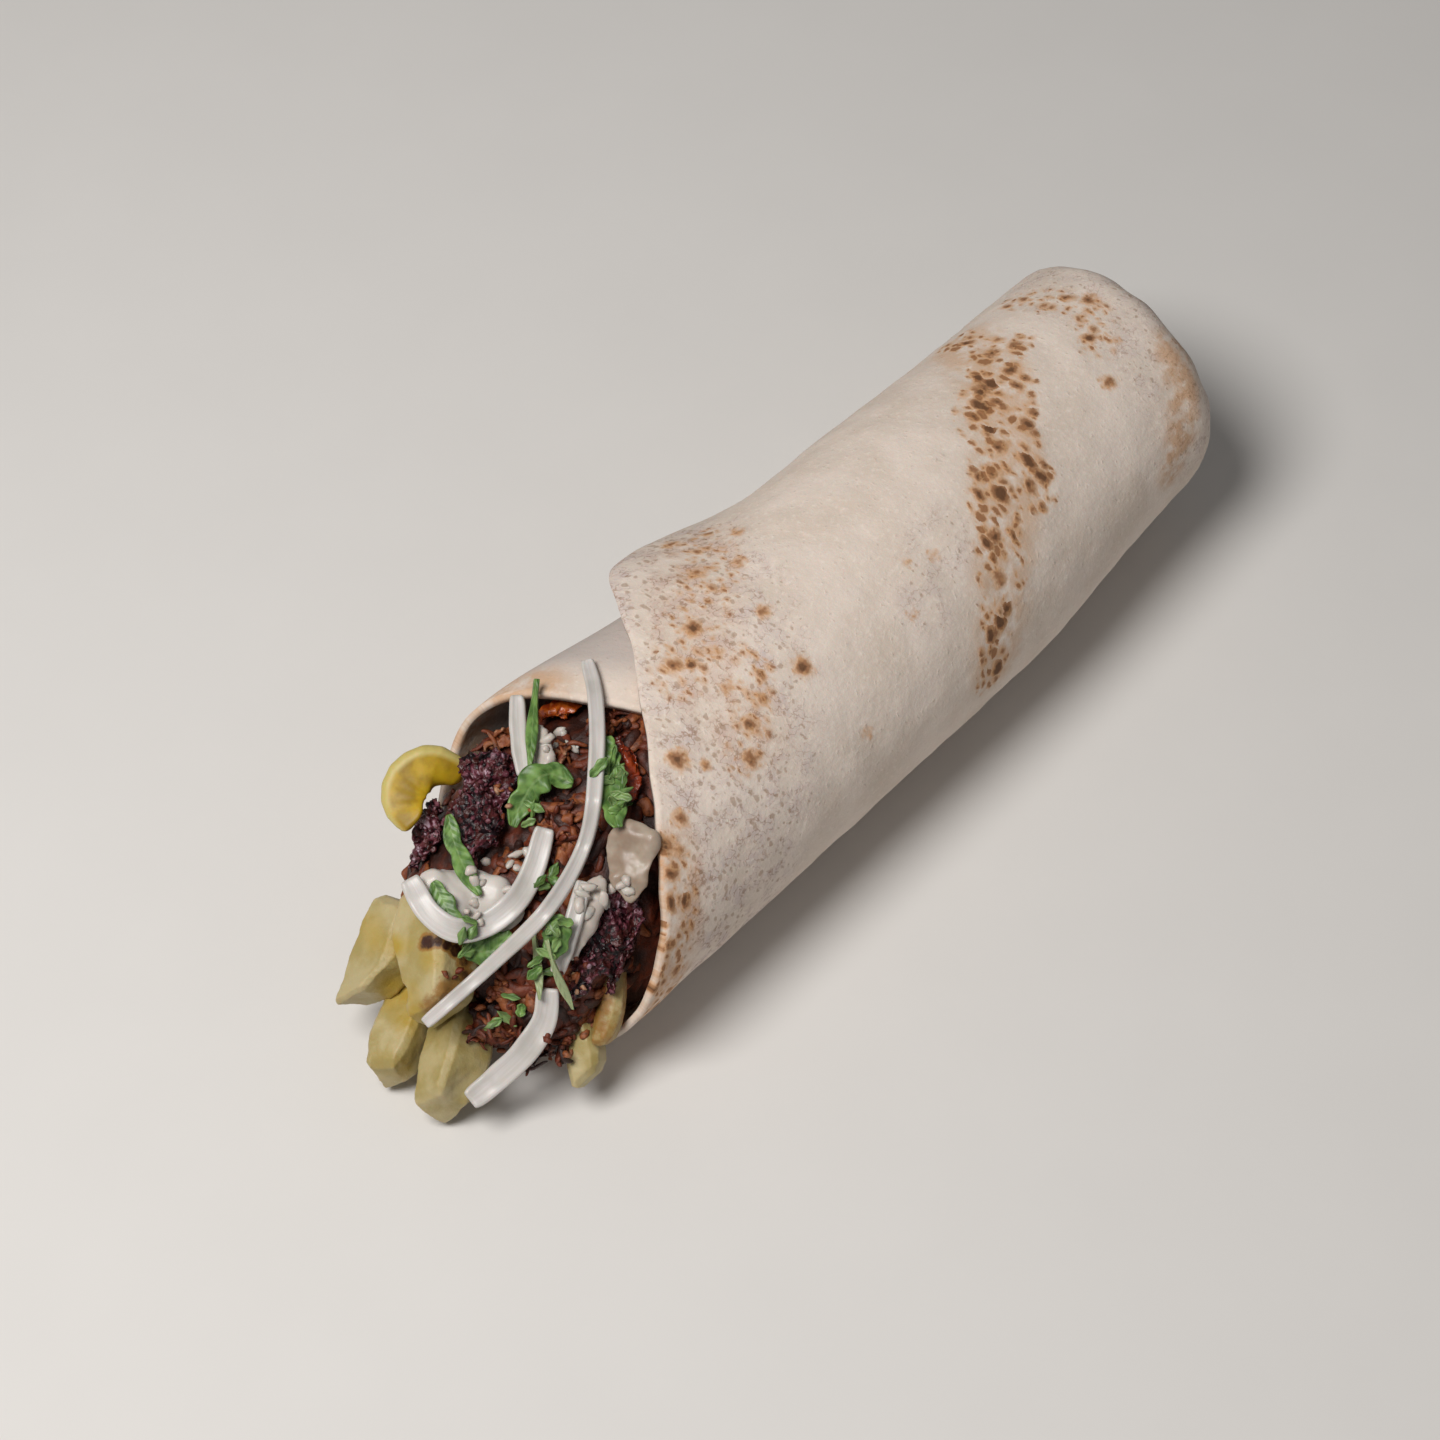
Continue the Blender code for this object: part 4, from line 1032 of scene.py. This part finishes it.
def garlic_cream():
    """Garlic sauce: cream to off-white with a soft sheen; the greyer cream of the less white spoonfuls is
    partly painted shade.
    """
    material, tree = start_material("garlic_sauce_whipped", Roughness=0.42, Subsurface_Weight=0.15,
                                    Subsurface_Scale=0.002, Coat_Weight=0.05)
    at = node(tree, "TexCoord").outputs["Object"]
    cloudy = node(tree, "TexNoise", {"Vector": at}, {"Scale": 1000 / 5.0, "Detail": 3.0}).outputs[0]
    white = node(tree, "Attribute", attribute_name="white").outputs["Fac"]
    # Partly painted shade: spoonfuls given little whiteness stay a darker grey cream.
    colour = cover(layered("#ad9d8c", (cloudy, 0.40, 0.68, "#937e6c")), white, "#d2cbc4")
    return finish_material(material, colour, cloudy, 0.3, 0.001)


# Each spoonful: its solid, how white it is (partly painted shade: lowest for the first, which lies in shade
# by the lip), how flat it has run, and how far it spreads across and up
SPOONFULS = (("garlic_sauce_1", 0.0, 0.56, 1.0, 1.22), ("garlic_sauce_2", 0.9, 0.90, 1.15, 1.40),
             ("garlic_sauce_3", 0.6, 1.0, 1.15, 1.05), ("garlic_sauce_4", 0.5, 1.0, 1.25, 1.05))
SPOON_WIDENING = 0.045
SPOON_WAVES = ((1.5, 4.4), (0.6, 2.0))

GARLIC_CREAM = garlic_cream()
for name, whiteness, flat, wide, tall in SPOONFULS:
    bm = remeshed(name, 0.4)
    soften(bm, 4)
    middle = sum((v.co for v in bm.verts), Vector()) / len(bm.verts)
    white = float_layer(bm, "white")
    for v in bm.verts:
        off = v.co - middle
        spread = wide * (1 + SPOON_WIDENING * off.dot(UP))
        v.co = (middle + ACROSS * (off.dot(ACROSS) * spread) + UP * (off.dot(UP) * tall)
                + BACK * (off.dot(BACK) * flat))
        v.co += v.normal * sum(height * noise.noise(v.co / span) for height, span in SPOON_WAVES)
        v[white] = whiteness
    soften(bm, 4)
    show_piece("spooned_" + name, bm, GARLIC_CREAM, "garlic_sauce", name)

# ## Onion strips
# Raw onion cut lengthways into strips: wet, half clear, greenish white with fine lines along them. They
# lie on the heap and bridge its hollows, so each is draped from above over everything laid before it.
STATION_STEP = 0.8
DRAPE_SLOPE, DRAPE_PASSES, DRAPE_SINK = 0.8, 14, 0.3
LIFT_OFF = 0.4
TABLE_REACH = 1.0
# Each strip: its points across and up, its width and its thickness
ONIONS = (
    ("onion_strip_1", ((-45.5, -2.5), (-45.0, -10.0), (-44.0, -17.0)), 3.6, 1.2),
    ("onion_strip_2", ((-33.0, -35.5), (-35.0, -44.0), (-37.5, -52.0)), 3.8, 1.2),
    ("onion_strip_3", ((-39.0, -54.5), (-39.6, -60.5), (-43.0, -66.2), (-48.0, -71.2),
                       (-52.8, -75.2)), 5.2, 1.1),
    ("onion_strip_4", ((-40.0, -26.0), (-41.8, -33.0), (-45.0, -39.2), (-50.0, -43.4), (-55.6, -44.7),
                       (-60.6, -41.6), (-64.2, -35.6)), 5.0, 1.1),
    ("onion_strip_5", ((-33.0, 4.0), (-31.5, -2.5), (-31.0, -13.5), (-32.5, -27.5), (-38.5, -39.5),
                       (-48.5, -50.0), (-61.0, -61.5)), 3.4, 1.1),
)

laid_trees = []


def lay_down(*pieces):
    """Later strips and leaves rest on these pieces."""
    bpy.context.view_layer.update()
    graph = bpy.context.evaluated_depsgraph_get()
    laid_trees.extend(BVHTree.FromObject(piece, graph) for piece in pieces)


def fall(place):
    """Millimetres from the drop point to the first thing met, or to the table."""
    down = drop_direction(place)
    start = on_frame(DROP_POINT)
    nearest = (TABLE_REACH - DROP_POINT.z) / down.z
    for tree in laid_trees:
        hit = tree.ray_cast(start, down)
        if hit[0] is not None:
            nearest = min(nearest, hit[3] / MM)
    return nearest


def smooth_path(points, count):
    """Evenly counted stations on a smooth curve through the points."""
    last = len(points) - 1
    tables = [[(i, p[k]) for i, p in enumerate(points)] for k in range(len(points[0]))]
    return [tuple(curve_value(table, last * i / count) for table in tables) for i in range(count + 1)]


def draped(points, width):
    """Stations along a strip's path: (place, sideways direction, distance fallen)."""
    length = sum(math.dist(one, two) for one, two in zip(points, points[1:]))
    count = max(round(length / STATION_STEP), 8)
    stations = smooth_path(points, count)
    sides = []
    for i in range(count + 1):
        one, two = stations[max(i - 1, 0)], stations[min(i + 1, count)]
        run = Vector((two[0] - one[0], two[1] - one[1])).normalized()
        sides.append(Vector((-run.y, run.x)))
    raw = [min(fall((across + side.x * off, up + side.y * off)) for off in (-0.42 * width, 0.0, 0.42 * width))
           for (across, up), side in zip(stations, sides)]
    fallen = [min(r + DRAPE_SLOPE * STATION_STEP * abs(i - j) for j, r in enumerate(raw))
              for i in range(count + 1)]
    for _ in range(DRAPE_PASSES):
        fallen = [min((fallen[max(i - 1, 0)] + here + fallen[min(i + 1, count)]) / 3, raw[i] + DRAPE_SINK)
                  for i, here in enumerate(fallen)]
    return [(Vector(place), side, distance) for place, side, distance in zip(stations, sides, fallen)]


def ribbon(points, width, outline, curl, columns=6):
    """An open strip laid along a path, whose outline and curl are given for each place on it."""
    stations = draped(points, width)
    steps = len(stations) - 1
    bm = unit_grid(steps, columns)
    place_layer = vector_layer(bm, "on_strip")
    for v in bm.verts:
        i = round((v.co.x + 1) / 2 * steps)
        t, side = i / steps, v.co.y
        place, sideways, distance = stations[i]
        at = place + sideways * (side * width / 2 * outline(t, side))
        v[place_layer] = (t * steps * STATION_STEP, side * width / 2, side)
        v.co = DROP_POINT + drop_direction(at) * (distance - LIFT_OFF - curl(t, side))
    return bm


def raw_onion():
    """Raw onion: watery and half clear, with fine lines along the strip and whiter cut edges."""
    material, tree = start_material("onion_raw_cut", Roughness=0.34, Subsurface_Weight=0.12,
                                    Subsurface_Scale=0.0015, Specular_IOR_Level=0.5)
    at = node(tree, "Attribute", attribute_name="on_strip").outputs["Vector"]
    stretched = node(tree, "Mapping", {"Vector": at}, {"Scale": (1 / 14, 1 / 0.7, 0)}).outputs[0]
    lines = node(tree, "TexNoise", {"Vector": stretched}, {"Scale": 1.0, "Detail": 4.0}).outputs[0]
    cloudy = node(tree, "TexNoise", {"Vector": at}, {"Scale": 1 / 7, "Detail": 3.0}).outputs[0]
    edge = reckon("ABSOLUTE", node(tree, "SeparateXYZ", {0: at}).outputs[2])
    colour = layered("#c6c0ba", (lines, 0.36, 0.68, "#d0cac6"), (cloudy, 0.45, 0.70, "#b2aea6", 0.6),
                     (edge, 0.70, 0.98, "#d6d3cd", 0.25))
    return finish_material(material, colour, lines, 0.14, 0.0005)


RAW_ONION = raw_onion()


def lay_onion(name, points, width, thickness):
    """Lays one strip of onion, a little narrower at its ends and curled along its edges."""
    def outline(t, side):
        uneven = 1 + 0.08 * noise.noise(Vector((t * 6, side, width)))
        return (0.72 + 0.28 * math.sin(math.pi * t) ** 0.4) * uneven

    def curl(t, side):
        return 0.5 * side * side * math.sin(2.2 * t + 0.6) + 0.25

    bm = ribbon(points, width, outline, curl)
    strip = show_piece("cut_" + name, bm, RAW_ONION, "raw_onion", name)
    add_thickness(strip, thickness, 1)
    add_smoothing(strip, 1)
    return strip


lay_down(*[o for o in bpy.context.scene.objects if o.type == "MESH" and "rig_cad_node" not in o])
for onion in ONIONS[:3]:
    lay_down(lay_onion(*onion))

# ## Parsley
# Flat-leaf parsley, torn over the filling: thin bright leaves with lobed edges, a rib down the middle
# and waved edges, and slim pale stems.
# Each leaf or stem: its points across and up, its width, its lobes (0 for a stem) and how far it waves
HERBS = (
    ("parsley_stem_1", ((-42.0, 0.5), (-42.6, -8.0), (-43.0, -15.5)), 2.6, 0, 0.2),
    ("parsley_leaf_1", ((-35.0, -18.0), (-40.0, -16.5), (-43.5, -20.0), (-46.0, -26.0)), 6.4, 3, 1.0),
    ("parsley_leaf_2", ((-29.5, -9.5), (-28.8, -17.0), (-27.0, -26.0)), 6.6, 5, 1.2),
    ("parsley_leaf_3", ((-57.5, -24.0), (-55.5, -31.0), (-51.5, -38.5)), 4.2, 2, 0.5),
    ("parsley_leaf_4", ((-60.0, -36.0), (-57.5, -40.5), (-55.0, -46.0)), 4.6, 3, 0.5),
    ("parsley_leaf_5", ((-54.5, -47.0), (-50.0, -48.5), (-45.5, -45.0)), 6.4, 3, 0.8),
    ("parsley_leaf_6", ((-38.0, -41.5), (-37.5, -45.0), (-38.5, -49.5)), 6.0, 3, 0.8),
    ("parsley_stem_2", ((-42.0, -43.5), (-41.0, -50.0), (-40.5, -57.0)), 2.0, 0, 0.2),
    ("parsley_stem_3", ((-39.5, -46.0), (-37.5, -52.0), (-34.5, -58.5)), 1.8, 0, 0.2),
)


def parsley_green():
    """Fresh parsley: bright green with paler ribs and a light bloom, thin enough to glow a little."""
    material, tree = start_material("parsley_fresh_leaf", Roughness=0.42, Subsurface_Weight=0.12,
                                    Subsurface_Scale=0.001)
    at = node(tree, "Attribute", attribute_name="on_strip").outputs["Vector"]
    along, _, side = node(tree, "SeparateXYZ", {0: at}).outputs
    off_rib = reckon("ABSOLUTE", side)
    slanted = reckon("SUBTRACT", along, times(off_rib, 1.6))
    veins = reckon("SINE", times(slanted, 3.6))
    mottled = node(tree, "TexNoise", {"Vector": at}, {"Scale": 1 / 2.6, "Detail": 4.0}).outputs[0]
    pale = node(tree, "Attribute", attribute_name="pale").outputs["Fac"]
    colour = layered("#426329", (mottled, 0.36, 0.66, "#75984e"), (veins, 0.80, 1.0, "#7f9d5c", 0.18),
                     (off_rib, 0.14, 0.04, "#8aa468", 0.40))
    colour = cover(colour, pale, "#a5b084")
    return finish_material(material, colour, veins, 0.2, 0.0003)


PARSLEY_GREEN = parsley_green()
LEAF_THICKNESS, STEM_THICKNESS, STEM_PALENESS = 0.5, 1.0, 0.85


def lay_herb(name, points, width, lobes, wave):
    """Lays one leaf or stem of parsley."""
    def outline(t, side):
        if not lobes:
            return 0.42 + 0.38 * math.sin(math.pi * t) + 0.1 * math.sin(9 * t + width)
        body = math.sin(math.pi * (0.06 + 0.88 * t)) ** 0.6
        tooth = abs(math.sin(math.pi * (lobes * t + 0.25 * (side > 0))))
        return body * (0.55 + 0.45 * tooth ** 0.7)

    def curl(t, side):
        ripple = math.sin(7 * t + 2.1 * side + len(points)) * abs(side) ** 1.5
        return wave * (0.55 + 0.45 * ripple + 0.3 * abs(side)) + 0.2

    bm = ribbon(points, width, outline, curl, 8)
    layer = float_layer(bm, "pale")
    for v in bm.verts:
        v[layer] = STEM_PALENESS if not lobes and name != "parsley_stem_1" else 0.0
    leaf = show_piece("fresh_" + name, bm, PARSLEY_GREEN, "parsley", name)
    add_thickness(leaf, LEAF_THICKNESS if lobes else STEM_THICKNESS, 1)
    add_smoothing(leaf, 1)
    return leaf


for herb in HERBS:
    lay_down(lay_herb(*herb))
for onion in ONIONS[3:]:
    lay_down(lay_onion(*onion))

# ## Torn bits
# What falls between the larger pieces: scraps of parsley, drops of the garlic sauce and browned crumbs.
# They lie loose on whatever is under them.
SCRAP_THICKNESS = 0.35
DROP_WHITENESS = 0.6
# Each heap of bits: across, up, how far it spreads, how many
PARSLEY_BITS = ((-28.5, -15.5, 3.2, 9), (-27.5, -21.0, 2.6, 6), (-37.5, -44.5, 2.6, 5),
                (-52.5, -46.0, 3.4, 5), (-39.5, -35.0, 2.0, 4), (-47.0, -59.0, 4.0, 5),
                (-42.0, -24.0, 3.0, 4), (-40.0, -50.0, 3.0, 4))
SAUCE_DROPS = ((-37.5, -11.5, 2.8, 7), (-51.0, -38.0, 6.0, 9), (-31.5, -39.0, 3.0, 8),
               (-26.5, -36.5, 2.4, 4), (-45.0, -31.0, 3.0, 4))
BROWN_CRUMBS = ((-56.5, -52.0, 2.4, 3), (-48.5, -57.0, 4.0, 18), (-27.5, -7.5, 2.4, 8),
                (-46.0, -21.0, 4.0, 8), (-37.0, -65.0, 2.8, 12), (-34.0, -52.0, 3.4, 12))


def strewn(heaps):
    """Places for loose bits, drawn at random inside each heap, just sunk in what they fall on."""
    for across, up, spread, count in heaps:
        for _ in range(count):
            turn, far = random.uniform(0, math.tau), spread * random.random() ** 0.5
            place = Vector((across + far * math.cos(turn), up + far * math.sin(turn)))
            yield DROP_POINT + drop_direction(place) * (fall(place) - 0.25)


def random_tilt():
    """Two directions square to each other, lying roughly flat as seen from the dropping point."""
    turn = random.uniform(0, math.tau)
    one = ACROSS * math.cos(turn) + UP * math.sin(turn) + BACK * random.uniform(-0.45, 0.45)
    one.normalize()
    return one, BACK.cross(one).normalized()


bits = bmesh.new()
strip_layer = vector_layer(bits, "on_strip")
pale_layer = float_layer(bits, "pale")
for spot in strewn(PARSLEY_BITS):
    one, two = random_tilt()
    made = bmesh.ops.create_grid(bits, x_segments=6, y_segments=4, size=1.0)
    length, width, pale = random.uniform(1.1, 2.3), random.uniform(0.6, 1.2), random.uniform(0, 0.5) ** 2
    bend, phase = random.uniform(-0.9, 0.9), random.uniform(0, 6)
    for v in made["verts"]:
        t, side = v.co.x, v.co.y
        full = (1 - t * t) ** 0.5 * (0.8 + 0.3 * math.sin(6 * t + phase))
        v[strip_layer] = (length * t + phase, side * width, side)
        v[pale_layer] = pale
        v.co = (spot + one * (t * length) + two * (side * width * full)
                + BACK * (0.5 + bend * 0.7 * t * t + 0.3 * math.sin(3 * side + phase)))
bmesh.ops.recalc_face_normals(bits, faces=bits.faces)
scraps = show_piece("parsley_scraps", bits, PARSLEY_GREEN, "parsley")
add_thickness(scraps, SCRAP_THICKNESS, 0)
add_smoothing(scraps, 1)


def strewn_lumps(bm, heaps, subdivisions, limits, depth_at, swell, fineness):
    """Drops lumps on the heaps. Yields each one's points and the measures drawn for it within limits."""
    for spot in strewn(heaps):
        one, two = random_tilt()
        points = bmesh.ops.create_icosphere(bm, subdivisions=subdivisions, radius=1.0)["verts"]
        drawn = [random.uniform(*pair) for pair in limits]
        for v in points:
            lumpy = 1 + swell * noise.noise(v.co * fineness + spot)
            v.co = (spot + one * (v.co.x * drawn[0] * lumpy) + two * (v.co.y * drawn[1] * lumpy)
                    + BACK * (v.co.z * drawn[depth_at]))
        yield points, drawn


drops = bmesh.new()
white = float_layer(drops, "white")
for points, _ in strewn_lumps(drops, SAUCE_DROPS, 2, ((0.6, 1.7), (0.5, 1.0), (0.35, 0.6)), 2, 0.5, 1.4):
    for v in points:
        v[white] = DROP_WHITENESS
show_piece("sauce_drops", drops, GARLIC_CREAM, "garlic_sauce")

crumbs = bmesh.new()
tone_layer = float_layer(crumbs, "tone")
for points, drawn in strewn_lumps(crumbs, BROWN_CRUMBS, 1, ((0.4, 1.2), (0.3, 0.7), (0.1, 0.9)), 1, 0.7, 2):
    for v in points:
        v[tone_layer] = drawn[2]
show_piece("brown_crumbs", crumbs, ROAST_CHICKEN, "roast_chicken")

# ## Floor, light and camera
# A plain pale table, one large soft light above the far side with a weaker fill, and the camera where
# the photographer stood: above the mouth, looking down along the roll.
TABLE_HALF_SIZE = 3.0
LENS = 98.0
AIM_ACROSS, AIM_UP = -9.1, -6.25
LIT_SPOT = (0, 0, 0.02)
WORLD_STRENGTH = 0.16


def pale_table():
    """A plain matt table top, pale grey."""
    material, tree = start_material("table_matt_pale", Roughness=0.9)
    at = node(tree, "TexCoord").outputs["Object"]
    grain = node(tree, "TexNoise", {"Vector": at}, {"Scale": 40.0, "Detail": 3.0}).outputs[0]
    return finish_material(material, blend_colours(grain, "#dcd9d5", "#e0ddd9"))


bm = bmesh.new()
bmesh.ops.create_grid(bm, x_segments=1, y_segments=1, size=TABLE_HALF_SIZE)
table = add_object("table_top", bm, pale_table())


def add_light(name, place, size, watts, colour):
    """A round area light turned towards the wrap."""
    lamp = bpy.data.lights.new(name, "AREA")
    lamp.shape = "DISK"
    lamp.size = size
    lamp.energy = watts
    lamp.color = linear(colour)[:3]
    light = bpy.data.objects.new(name, lamp)
    light.location = place
    light.rotation_euler = (Vector(LIT_SPOT) - Vector(place)).to_track_quat("-Z", "Y").to_euler()
    put_in_scene(light)


add_light("softbox", (-0.36, 0.06, 0.68), 0.36, 5.0, "#fffdfb")
add_light("fill", (-0.7, -0.9, 0.5), 0.9, 0.6, "#f4f6ff")
world = bpy.data.worlds.new("studio")
world.use_nodes = True
background = world.node_tree.nodes["Background"]
background.inputs["Color"].default_value = linear("#f2f2f2")
background.inputs["Strength"].default_value = WORLD_STRENGTH
bpy.context.scene.world = world
bpy.context.scene.view_settings.view_transform = "Standard"

lens = bpy.data.cameras.new("camera")
lens.lens = LENS
lens.clip_start, lens.clip_end = 0.01, 20.0
camera = bpy.data.objects.new("camera", lens)
camera.location = on_frame(DROP_POINT)
aim = DROP_TARGET + ACROSS * AIM_ACROSS + UP * AIM_UP
camera.rotation_euler = (aim - DROP_POINT).to_track_quat("-Z", "Y").to_euler()
put_in_scene(camera)
bpy.context.scene.camera = camera
